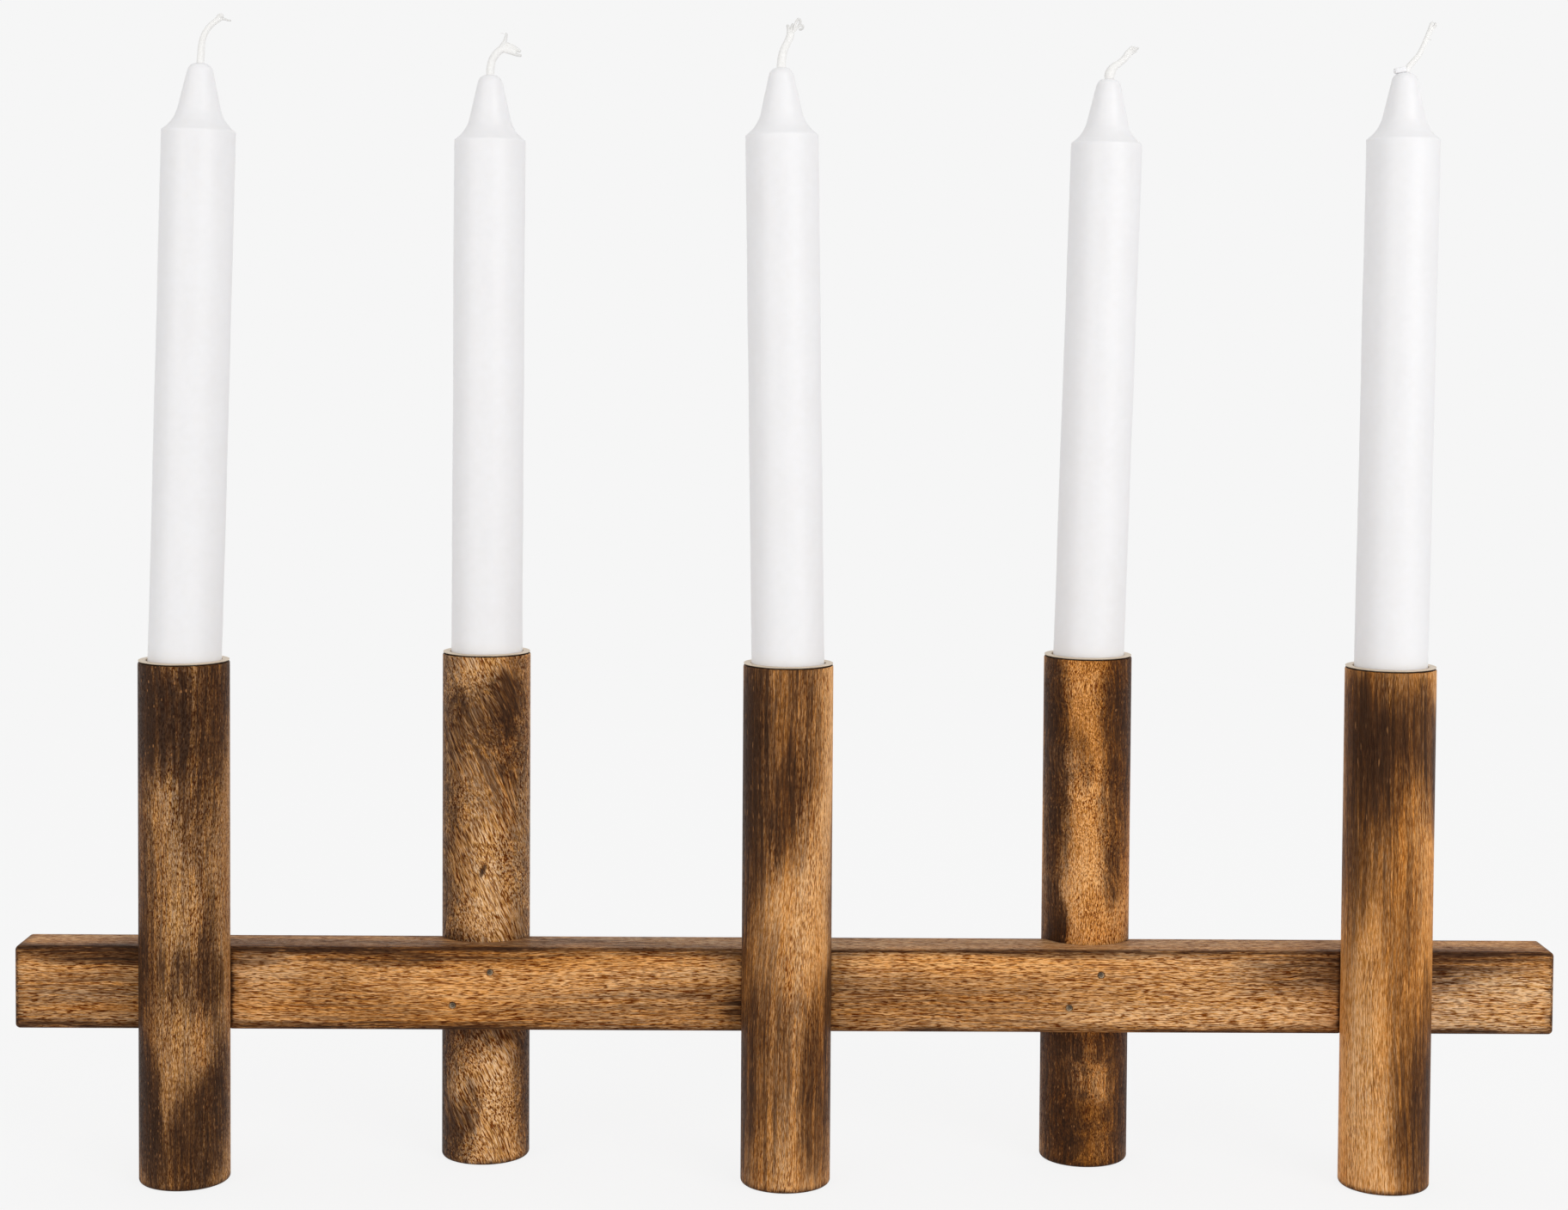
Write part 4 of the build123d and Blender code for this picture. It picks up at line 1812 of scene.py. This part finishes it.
@dataclass
class Studio:
    """A pale floor and backdrop, soft lamps and the camera at the viewer's place."""

    backdrop: Colour = colour(246, 246, 246)
    ambient_front: float = 0.42
    ambient_back: float = 0.67
    ambient_aim: Triple = (0.0, 0.7, 0.7)
    ambient_span: Pair = (-0.3, 0.7)
    front_gloss: float = 0.12
    gloss_span: Pair = (-0.35, 0.45)
    floor_colour: Colour = colour(236, 236, 236)
    floor_roughness: float = 0.9
    floor_specular: float = 0.1
    floor_half: float = 4.0
    floor_cells: int = 8
    floor_share: float = 0.86
    floor_glow: float = 1.06
    floor_near: float = 0.35
    floor_far: float = 1.2
    picture_width: float = 1824.0
    picture_height: float = 1408.0
    focal_pixels: float = 3136.12
    axis_row: float = 519.23
    eye: Triple = (-0.008119, -0.789616, 0.243968)
    yaw: float = 0.00829
    pitch: float = -0.03837
    roll: float = 0.00642
    sensor_width: float = 36.0
    nearest: float = 0.01
    lamps: tuple[Softbox, ...] = (
        Softbox("key_softbox", (1.3, -1.6, 0.9), 1.4, 18.4, (1.0, 1.0, 1.0)),
        Softbox("fill_softbox", (-2.0, -2.2, 0.7), 1.8, 21.5, (1.0, 0.985, 0.97)),
    )

    def light_world(self) -> None:
        """Fill the world with soft light, and show the pale backdrop where it is seen."""
        world = bpy.data.worlds.new("studio")
        world.use_nodes = True
        world.node_tree.nodes.clear()
        sheet = NodeSheet(world.node_tree)
        path = sheet.node("ShaderNodeLightPath", {}).outputs
        aim = sheet.node("ShaderNodeTexCoord", {}).outputs["Generated"]
        depth = sheet.node("ShaderNodeSeparateXYZ", {0: aim}).outputs["Y"]
        behind = sheet.span(depth, *self.gloss_span, self.front_gloss, self.backdrop[0])
        turned = {0: aim, 1: self.ambient_aim}
        lifted = sheet.node("ShaderNodeVectorMath", turned, operation="DOT_PRODUCT").outputs["Value"]
        soft = sheet.span(lifted, *self.ambient_span, self.ambient_front, self.ambient_back)
        ambient = sheet.blend("MIX", path["Is Glossy Ray"], soft, behind)
        seen = sheet.math("MAXIMUM", path["Is Camera Ray"], path["Is Transmission Ray"])
        shade = sheet.blend("MIX", seen, ambient, self.backdrop)
        light = sheet.node("ShaderNodeBackground", {"Color": shade, "Strength": 1.0})
        sheet.node("ShaderNodeOutputWorld", {"Surface": light.outputs[0]})
        bpy.context.scene.world = world

    def floor_material(self) -> bpy.types.Material:
        """Make the floor's finish, which glows like the backdrop where it is seen directly.

        Rays from the camera, a gloss or through glass see mostly the glow, and only it far away,
        so that a soft share of the object's shadow is kept close by.

        Returns:
            The material.
        """
        material, sheet, shader = new_material("studio_floor")
        looks = {
            "Base Color": self.floor_colour,
            "Roughness": self.floor_roughness,
            "Specular IOR Level": self.floor_specular,
        }
        sheet.feed(shader, looks)
        place = {0: sheet.place()}
        away = sheet.node("ShaderNodeVectorMath", place, operation="LENGTH").outputs["Value"]
        strength = sheet.span(away, self.floor_near, self.floor_far, self.floor_glow, 1.0)
        glow = sheet.node("ShaderNodeEmission", {"Color": self.backdrop, "Strength": strength})
        path = sheet.node("ShaderNodeLightPath", {}).outputs
        both = sheet.math("MAXIMUM", path["Is Camera Ray"], path["Is Transmission Ray"])
        seen = sheet.math("MAXIMUM", both, path["Is Glossy Ray"])
        fade = sheet.span(away, self.floor_near, self.floor_far, self.floor_share, 1.0)
        layers = {0: sheet.math("MULTIPLY", seen, fade), 1: shader.outputs[0], 2: glow.outputs[0]}
        mixed = sheet.node("ShaderNodeMixShader", layers)
        output = next(node for node in sheet.tree.nodes if node.type == "OUTPUT_MATERIAL")
        sheet.feed(output, {"Surface": mixed.outputs[0]})
        return material

    def lay_floor(self) -> None:
        """Lay the pale floor.

        Formula: a flat grid over two even parameters.
        """
        cells = self.floor_cells
        wide = cells + 1
        even = np.linspace(-self.floor_half, self.floor_half, wide)
        across, depth = np.meshgrid(even, even, indexing="ij")
        points = np.stack([across.ravel(), depth.ravel(), np.zeros(across.size)], axis=-1)
        row, column = np.meshgrid(np.arange(cells), np.arange(cells), indexing="ij")
        first = (row * wide + column).ravel()
        quads = np.stack([first, first + wide, first + wide + 1, first + 1], axis=-1)
        mesh = bpy.data.meshes.new("studio_floor")
        mesh.from_pydata(points.tolist(), [], quads.tolist())
        mesh.materials.append(self.floor_material())
        floor = bpy.data.objects.new("studio_floor", mesh)
        bpy.context.scene.collection.objects.link(floor)

    def set_camera(self) -> None:
        """Stand the camera at the viewer's eye, with the picture shifted down as it was taken."""
        data = bpy.data.cameras.new("viewer")
        data.sensor_fit = "HORIZONTAL"
        data.sensor_width = self.sensor_width
        data.lens = self.focal_pixels / self.picture_width * self.sensor_width
        data.shift_y = (self.axis_row - self.picture_height / 2.0) / self.picture_width
        data.clip_start = self.nearest
        camera = bpy.data.objects.new("viewer", data)
        level = math.cos(self.pitch)
        ahead = np.array([math.sin(self.yaw) * level, math.cos(self.yaw) * level, math.sin(self.pitch)])
        camera.matrix_world = facing(np.array(self.eye), ahead, self.roll)
        bpy.context.scene.collection.objects.link(camera)
        bpy.context.scene.camera = camera

    def build(self) -> None:
        """Set up the whole studio."""
        self.light_world()
        self.lay_floor()
        for lamp in self.lamps:
            lamp.hang()
        self.set_camera()
        bpy.context.scene.view_settings.view_transform = "Standard"


NAIL_STEEL = MottledFinish(
    "nail_steel",
    light=colour(184, 162, 132),
    dark=colour(136, 114, 88),
    scale=900.0,
    roughness=0.4,
    metallic=0.4,
    relief=0.00004,
    shade="shade",
)

CUP_METAL = MottledFinish(
    "cup_metal",
    light=colour(230, 214, 192),
    dark=colour(214, 196, 172),
    scale=2.4,
    roughness=0.45,
    metallic=0.35,
    relief=0.00003,
    vector="turned",
)

WHITE_WAX = MottledFinish(
    "white_wax",
    light=colour(248, 247, 249),
    dark=colour(245, 244, 245),
    scale=60.0,
    roughness=0.42,
    specular=0.4,
    relief=0.00003,
    glow=0.3,
)

WICK_COTTON = MottledFinish(
    "wick_cotton",
    light=colour(253, 253, 252),
    dark=colour(244, 242, 239),
    scale=3.0,
    roughness=0.85,
    specular=0.15,
    relief=0.00008,
    sheen=0.25,
    vector="twist",
    shade="shade",
)

POST_PLANS = (
    PostPlan(
        Side.FRONT,
        GrainLay(11, pinch=6.0, pinch_from=0.06, pore_size=0.42, pore_length=1.4, tone=-0.03, warmth=0.15),
        (
            Stain(-0.0125, 0.138, 0.0140, 0.027, scorch=0.95, lean=0.05),
            Stain(0.0010, 0.134, 0.0080, 0.021, scorch=0.76, lean=0.03),
            Stain(0.0168, 0.158, 0.0106, 0.065, scorch=0.70, warmth=0.25, lean=0.18),
            Stain(-0.0163, 0.059, 0.0125, 0.080, scorch=0.50, warmth=0.15, lean=0.05),
            Stain(-0.0204, 0.065, 0.0130, 0.019, scorch=0.90),
            Stain(-0.0190, 0.090, 0.0050, 0.090, scorch=0.30),
            Stain(0.0051, 0.061, 0.0140, 0.013, scorch=0.40, lean=-0.16),
            Stain(0.0103, 0.065, 0.0041, 0.027, scorch=0.40, lean=-0.06),
            Stain(-0.0113, 0.024, 0.0084, 0.025, scorch=0.92, lean=-0.11),
            Stain(-0.0060, 0.010, 0.0042, 0.016, scorch=0.55),
            Stain(-0.0150, 0.036, 0.0060, 0.017, scorch=0.45),
            Stain(0.0145, 0.035, 0.0055, 0.015, scorch=0.38),
            Stain(0.0088, 0.016, 0.0140, 0.022, scorch=0.74, lean=0.18),
            Stain(0.0000, 0.075, 0.0400, 0.150, scorch=0.14),
        ),
        (0.35, -0.35),
    ),
    PostPlan(
        Side.BACK,
        GrainLay(
            23, slope=0.42, wander=0.0018, ripple=0.0008, dive=0.0017, dive_length=0.034,
            pore_size=0.78, pore_length=1.9, tone=0.04, warmth=0.1,
        ),
        (
            Stain(0.0068, 0.136, 0.0050, 0.010, scorch=0.55),
            Stain(0.0087, 0.129, 0.0119, 0.027, scorch=0.45, warmth=0.3, lean=0.16),
            Stain(0.0005, 0.133, 0.0140, 0.013, scorch=0.42, lean=0.50),
            Stain(-0.0080, 0.137, 0.0042, 0.007, scorch=0.35),
            Stain(-0.0180, 0.100, 0.0165, 0.080, scorch=0.44, warmth=0.15, lean=0.03),
            Stain(0.0175, 0.103, 0.0124, 0.031, scorch=0.24, lean=0.14),
            Stain(0.0003, 0.089, 0.0009, 0.002, scorch=0.75, lean=0.4),
            Stain(-0.0140, 0.047, 0.0138, 0.022, scorch=0.65, lean=-0.16),
            Stain(0.0004, 0.051, 0.0130, 0.020, scorch=0.55, lean=-0.40),
            Stain(-0.0220, 0.020, 0.0120, 0.045, scorch=0.90),
            Stain(-0.0140, 0.004, 0.0120, 0.018, scorch=0.62, lean=0.2),
            Stain(-0.0025, 0.018, 0.0040, 0.011, scorch=0.32),
            Stain(0.0217, 0.024, 0.0128, 0.055, scorch=0.73, warmth=0.2, lean=-0.13),
        ),
        (0.25, -0.59),
    ),
    PostPlan(
        Side.FRONT,
        GrainLay(37, slope=-0.03, pore_size=0.4, pore_length=2.6, pores=0.62, tone=0.14, warmth=0.55),
        (
            Stain(-0.0151, 0.121, 0.0128, 0.050, scorch=0.95, lean=0.07),
            Stain(0.0022, 0.132, 0.0105, 0.043, scorch=0.48, warmth=0.2, lean=0.04),
            Stain(-0.0009, 0.113, 0.0046, 0.019, scorch=0.50, lean=0.13),
            Stain(-0.0245, 0.059, 0.0110, 0.066, scorch=0.53, warmth=0.2, lean=0.40),
            Stain(0.0245, 0.068, 0.0114, 0.071, scorch=0.80, lean=0.06),
            Stain(0.0154, 0.055, 0.0040, 0.013, scorch=0.44, lean=0.08),
            Stain(-0.0095, 0.037, 0.0140, 0.047, scorch=0.44, lean=0.05),
            Stain(-0.0219, 0.022, 0.0140, 0.039, scorch=0.70, lean=0.20),
            Stain(0.0100, 0.031, 0.0092, 0.034, scorch=0.56, warmth=0.2),
            Stain(0.0145, 0.138, 0.0040, 0.030, tone=0.2),
            Stain(0.0068, 0.090, 0.0030, 0.012, tone=0.15),
        ),
        (-0.35, 0.35),
    ),
    PostPlan(
        Side.BACK,
        GrainLay(
            41, figure=0.5, figure_length=0.008, dive=0.0008, dive_length=0.021,
            pore_size=0.45, pore_length=1.3, pores=0.85, warmth=0.72,
        ),
        (
            Stain(-0.0132, 0.120, 0.0080, 0.054, scorch=0.82, warmth=-0.2, lean=-0.02),
            Stain(-0.0117, 0.061, 0.0043, 0.029, scorch=0.85, lean=0.04),
            Stain(0.0115, 0.136, 0.0091, 0.060, scorch=0.60, lean=0.05),
            Stain(0.0160, 0.133, 0.0130, 0.015, scorch=0.53, lean=-0.40),
            Stain(0.0152, 0.143, 0.0034, 0.007, scorch=0.85),
            Stain(-0.0030, 0.122, 0.0030, 0.012, scorch=0.24, lean=-0.07),
            Stain(-0.0122, 0.025, 0.0125, 0.070, scorch=0.74, lean=-0.10),
            Stain(-0.0013, 0.038, 0.0140, 0.008, scorch=0.50, lean=-0.50),
            Stain(0.0165, 0.026, 0.0127, 0.052, scorch=0.80, lean=0.11),
            Stain(-0.0060, 0.009, 0.0050, 0.008, scorch=0.40),
            Stain(0.0072, 0.087, 0.0035, 0.012, scorch=0.35),
            Stain(0.0072, 0.038, 0.0040, 0.014, scorch=0.38),
            Stain(0.0030, 0.023, 0.0060, 0.022, scorch=0.18),
            Stain(-0.0085, 0.115, 0.0040, 0.045, tone=0.12),
        ),
        (0.18, -0.53),
    ),
    PostPlan(
        Side.FRONT,
        GrainLay(59, slope=0.02, pore_size=0.42, pore_length=3.2, pores=0.42, tone=-0.02, warmth=0.68),
        (
            Stain(-0.0089, 0.130, 0.0140, 0.027, scorch=0.94, lean=-0.07),
            Stain(0.0085, 0.134, 0.0087, 0.018, scorch=0.60, lean=-0.19),
            Stain(0.0169, 0.127, 0.0059, 0.020, scorch=0.85, lean=0.09),
            Stain(0.0216, 0.111, 0.0140, 0.026, scorch=0.55, lean=-0.40),
            Stain(-0.0146, 0.100, 0.0140, 0.026, scorch=0.42),
            Stain(0.0010, 0.094, 0.0077, 0.066, scorch=0.27, warmth=0.15, lean=-0.03),
            Stain(-0.0150, 0.085, 0.0052, 0.050, scorch=0.22),
            Stain(-0.0080, 0.030, 0.0090, 0.050, tone=0.08, warmth=-0.25),
            Stain(0.0104, 0.061, 0.0019, 0.012, scorch=0.25, lean=-0.10),
            Stain(-0.0160, 0.040, 0.0070, 0.060, tone=0.12),
            Stain(0.0102, 0.026, 0.0120, 0.036, scorch=0.68, lean=0.03),
            Stain(0.0108, 0.024, 0.0050, 0.018, scorch=0.35),
        ),
        (0.35, -0.35),
    ),
)

BEAM_LAY = GrainLay(71, pore_size=0.4, pore_length=3.3, pores=1.0, tone=0.16, warmth=0.6, wander=0.0009)

BEAM_STAINS = (
    Stain(0.0222, -0.166, 0.0043, 0.120, scorch=0.52, lean=-0.02),
    Stain(0.0280, -0.130, 0.0060, 0.090, scorch=0.30),
    Stain(0.0199, -0.196, 0.0030, 0.027, scorch=0.50, lean=-0.02),
    Stain(0.0083, -0.200, 0.0120, 0.039, scorch=0.20, lean=0.09),
    Stain(-0.0004, -0.200, 0.0018, 0.110, scorch=0.65),
    Stain(0.0043, -0.125, 0.0120, 0.027, scorch=0.18, lean=-0.21),
    # A narrow painted shadow line beside the first post's right edge
    Stain(0.0120, -0.1625, 0.0130, 0.002, scorch=0.50),
    Stain(-0.0004, -0.090, 0.0018, 0.021, scorch=0.55, lean=0.05),
    Stain(0.0277, -0.046, 0.0059, 0.083, scorch=0.25, lean=-0.20),
    Stain(0.0190, -0.055, 0.0050, 0.035, warmth=0.3),
    Stain(0.0056, -0.013, 0.0042, 0.008, scorch=0.60),
    Stain(0.0060, 0.000, 0.0106, 0.120, scorch=0.21, lean=0.04),
    Stain(0.0190, 0.065, 0.0060, 0.055, tone=0.08, warmth=0.3),
    Stain(-0.0022, 0.104, 0.0018, 0.056, scorch=0.34, lean=-0.09),
    Stain(-0.0009, 0.161, 0.0031, 0.041, scorch=0.27),
    Stain(0.0197, 0.179, 0.0101, 0.053, scorch=0.47, lean=0.08),
    Stain(-0.0050, 0.200, 0.0060, 0.030, scorch=0.60),
    Stain(0.0060, 0.120, 0.0070, 0.060, warmth=-0.3),
    Stain(0.0060, 0.188, 0.0080, 0.016, tone=0.1, warmth=-0.3),
    Stain(0.0080, 0.200, 0.0150, 0.036, warmth=-0.45),
    Stain(0.0140, 0.023, 0.0110, 0.008, tone=0.16),
    Stain(0.0215, -0.152, 0.0030, 0.012, tone=0.3),
    Stain(0.0215, 0.103, 0.0030, 0.012, tone=0.3),
    Stain(0.0215, 0.055, 0.0030, 0.030, tone=0.1),
    Stain(0.0160, 0.134, 0.0060, 0.010, tone=0.14),
    Stain(0.0140, -0.152, 0.0110, 0.010, tone=0.12, warmth=-0.1),
    Stain(0.0030, 0.120, 0.0040, 0.060, tone=0.1),
    Stain(0.0320, 0.000, 0.0090, 0.240, scorch=0.12, warmth=-0.4),
)

CANDLE_PLANS = (
    CandlePlan(
        211,
        (
            (0.0, 0.0, -3.0, 0.95), (0.0, 0.0, 0.0, 1.07), (0.1, 0.0, 2.4, 1.07), (0.2, 0.0, 4.9, 1.0),
            (0.8, 0.0, 7.9, 0.88), (1.8, 0.0, 9.8, 0.84), (3.2, 0.0, 11.4, 0.8), (4.8, 0.0, 12.7, 0.85),
            (5.7, 0.0, 13.4, 0.95),
        ),
        (
            LooseEnd(((3.8, 0.1, 12.0, 0.6), (4.9, 0.1, 13.4, 0.62), (5.5, 0.1, 14.2, 0.55))),
            LooseEnd(((4.4, 0.3, 12.4, 0.6), (5.6, 0.3, 13.6, 0.66), (6.4, 0.3, 14.0, 0.6))),
            LooseEnd(
                (
                    (4.4, -0.2, 12.4, 0.5), (6.2, -0.2, 12.9, 0.42), (7.3, -0.2, 12.6, 0.3),
                    (8.5, -0.2, 12.4, 0.2),
                ),
                0.8,
            ),
        ),
    ),
    CandlePlan(
        223,
        (
            (0.0, 0.0, -3.0, 0.95), (0.0, 0.0, 0.0, 1.22), (0.15, 0.0, 2.5, 1.2), (0.7, 0.0, 4.6, 1.15),
            (1.9, 0.0, 6.4, 1.13), (3.2, 0.0, 7.5, 1.1), (4.6, 0.0, 7.6, 1.1),
            (6.2, 0.0, 7.1, 1.0), (7.8, 0.0, 6.6, 0.85),
        ),
        (
            LooseEnd(
                (
                    (2.4, 0.2, 7.0, 0.8), (3.8, 0.2, 9.0, 0.72), (4.6, 0.2, 11.0, 0.5),
                    (4.75, 0.2, 12.5, 0.32),
                ),
                0.85,
            ),
            LooseEnd(
                (
                    (3.2, -0.2, 7.8, 0.8), (4.8, -0.2, 8.8, 0.8), (6.4, -0.2, 8.4, 0.7),
                    (9.1, -0.2, 6.9, 0.45),
                ),
            ),
            LooseEnd(
                (
                    (4.4, 0.3, 7.2, 0.7), (6.4, 0.4, 6.5, 0.6), (8.2, 0.4, 5.9, 0.48),
                    (9.4, 0.4, 5.7, 0.34),
                ),
                0.84,
            ),
            LooseEnd(((4.6, 0.2, 12.1, 0.14), (3.8, 0.2, 12.3, 0.1), (3.0, 0.2, 12.3, 0.07)), 0.85),
        ),
    ),
    CandlePlan(
        227,
        (
            (0.0, 0.0, -3.0, 0.95), (0.0, 0.0, 0.0, 1.3), (0.2, 0.0, 2.6, 1.25), (0.8, 0.0, 5.0, 1.16),
            (1.8, 0.0, 7.1, 1.1), (2.6, 0.0, 8.9, 1.15), (3.0, 0.0, 10.4, 1.1),
        ),
        (
            LooseEnd(((2.1, 0.2, 8.8, 0.55), (2.2, 0.2, 10.8, 0.5), (1.9, 0.2, 12.3, 0.42)), 0.8),
            LooseEnd(((2.6, -0.2, 9.4, 0.55), (3.0, -0.2, 11.2, 0.45), (3.5, -0.2, 12.7, 0.34)), 0.75),
            LooseEnd(
                (
                    (3.2, 0.1, 9.6, 0.42), (4.0, 0.1, 11.6, 0.38), (4.6, 0.1, 13.3, 0.36),
                    (5.2, 0.1, 13.8, 0.36),
                    (5.6, 0.1, 13.2, 0.36), (5.2, 0.1, 12.0, 0.34), (4.4, 0.1, 10.9, 0.3),
                ),
                0.75,
            ),
            LooseEnd(
                (
                    (3.4, 0.3, 10.0, 0.4), (4.6, 0.3, 11.2, 0.36), (5.6, 0.3, 12.0, 0.34),
                    (6.3, 0.3, 11.8, 0.33),
                    (6.2, 0.3, 11.1, 0.33), (5.2, 0.3, 10.7, 0.3),
                ),
                0.75,
            ),
        ),
    ),
    CandlePlan(
        229,
        (
            (0.0, 0.0, -3.0, 0.95), (0.0, 0.0, -0.4, 1.2), (0.1, 0.0, 0.6, 1.55),
            (0.4, 0.0, 2.0, 1.5), (1.3, 0.0, 3.4, 1.25),
            (2.9, 0.0, 4.7, 1.0), (4.4, 0.0, 6.1, 1.0), (5.3, 0.0, 7.4, 1.1), (6.2, 0.0, 8.5, 1.1),
        ),
        (
            LooseEnd(((4.6, 0.3, 6.8, 0.5), (5.6, 0.3, 8.6, 0.46), (6.8, 0.3, 9.9, 0.36))),
            LooseEnd(((5.0, -0.1, 7.0, 0.5), (6.2, -0.1, 8.7, 0.44), (7.7, -0.1, 9.7, 0.34))),
            LooseEnd(((5.2, 0.2, 7.0, 0.5), (6.8, 0.2, 8.5, 0.44), (8.6, 0.2, 9.5, 0.34)), 0.85),
            LooseEnd(((5.4, -0.3, 6.9, 0.5), (6.8, -0.3, 7.9, 0.42), (8.2, -0.3, 8.6, 0.3))),
        ),
    ),
    CandlePlan(
        233,
        (
            (0.0, 0.0, -3.0, 0.95), (0.2, 0.0, -0.2, 0.95), (0.9, 0.0, 1.4, 0.9),
            (2.5, 0.0, 3.4, 0.84), (4.0, 0.0, 5.4, 0.75),
            (5.0, 0.0, 7.6, 0.7), (5.9, 0.0, 9.8, 0.7), (6.9, 0.0, 12.1, 0.8), (7.4, 0.0, 13.3, 0.85),
        ),
        (
            LooseEnd(
                (
                    (6.6, 0.2, 11.8, 0.5), (6.9, 0.2, 13.2, 0.48), (7.3, 0.2, 14.2, 0.42),
                    (7.9, 0.2, 14.5, 0.36),
                ),
            ),
            LooseEnd(
                (
                    (7.0, -0.2, 12.2, 0.5), (7.9, -0.2, 13.0, 0.46), (8.4, -0.2, 13.8, 0.4),
                    (8.2, -0.2, 14.4, 0.34),
                ),
                0.85,
            ),
            LooseEnd(((6.0, 0.3, 9.8, 0.2), (6.8, 0.4, 9.7, 0.16), (7.2, 0.4, 9.2, 0.1)), 0.85),
        ),
        flap=True,
    ),
)


def corners(box: tuple[Triple, Triple]) -> list[list[float]]:
    """Write a box's two corners as plain lists of numbers."""
    return [[float(value) for value in corner] for corner in box]


def main() -> None:
    """Build the studio and every piece of the holder."""
    logging.basicConfig(level=logging.INFO, format="%(name)s: %(message)s")
    Studio().build()
    post_wood = WoodFinish("post_wood").material()
    beam_wood = WoodFinish("beam_wood").material()
    plain = (NAIL_STEEL, CUP_METAL, WHITE_WAX, WICK_COTTON)
    steel, cup_metal, wax, cotton = (finish.material() for finish in plain)
    posts = [Post(number, plan, post_wood) for number, plan in enumerate(POST_PLANS, start=1)]
    beam = Beam(beam_wood, posts, BEAM_LAY, BEAM_STAINS)
    beam.build()
    for post, plan in zip(posts, CANDLE_PLANS):
        post.build()
        NailPair(post, beam, steel).build()
        cup = CandleCup(post.number, cup_metal)
        cup.build()
        candle = Candle(post.number, plan, cup, wax, cotton)
        candle.build_wax()
        candle.build_wick()


if __name__ == "__main__":
    main()
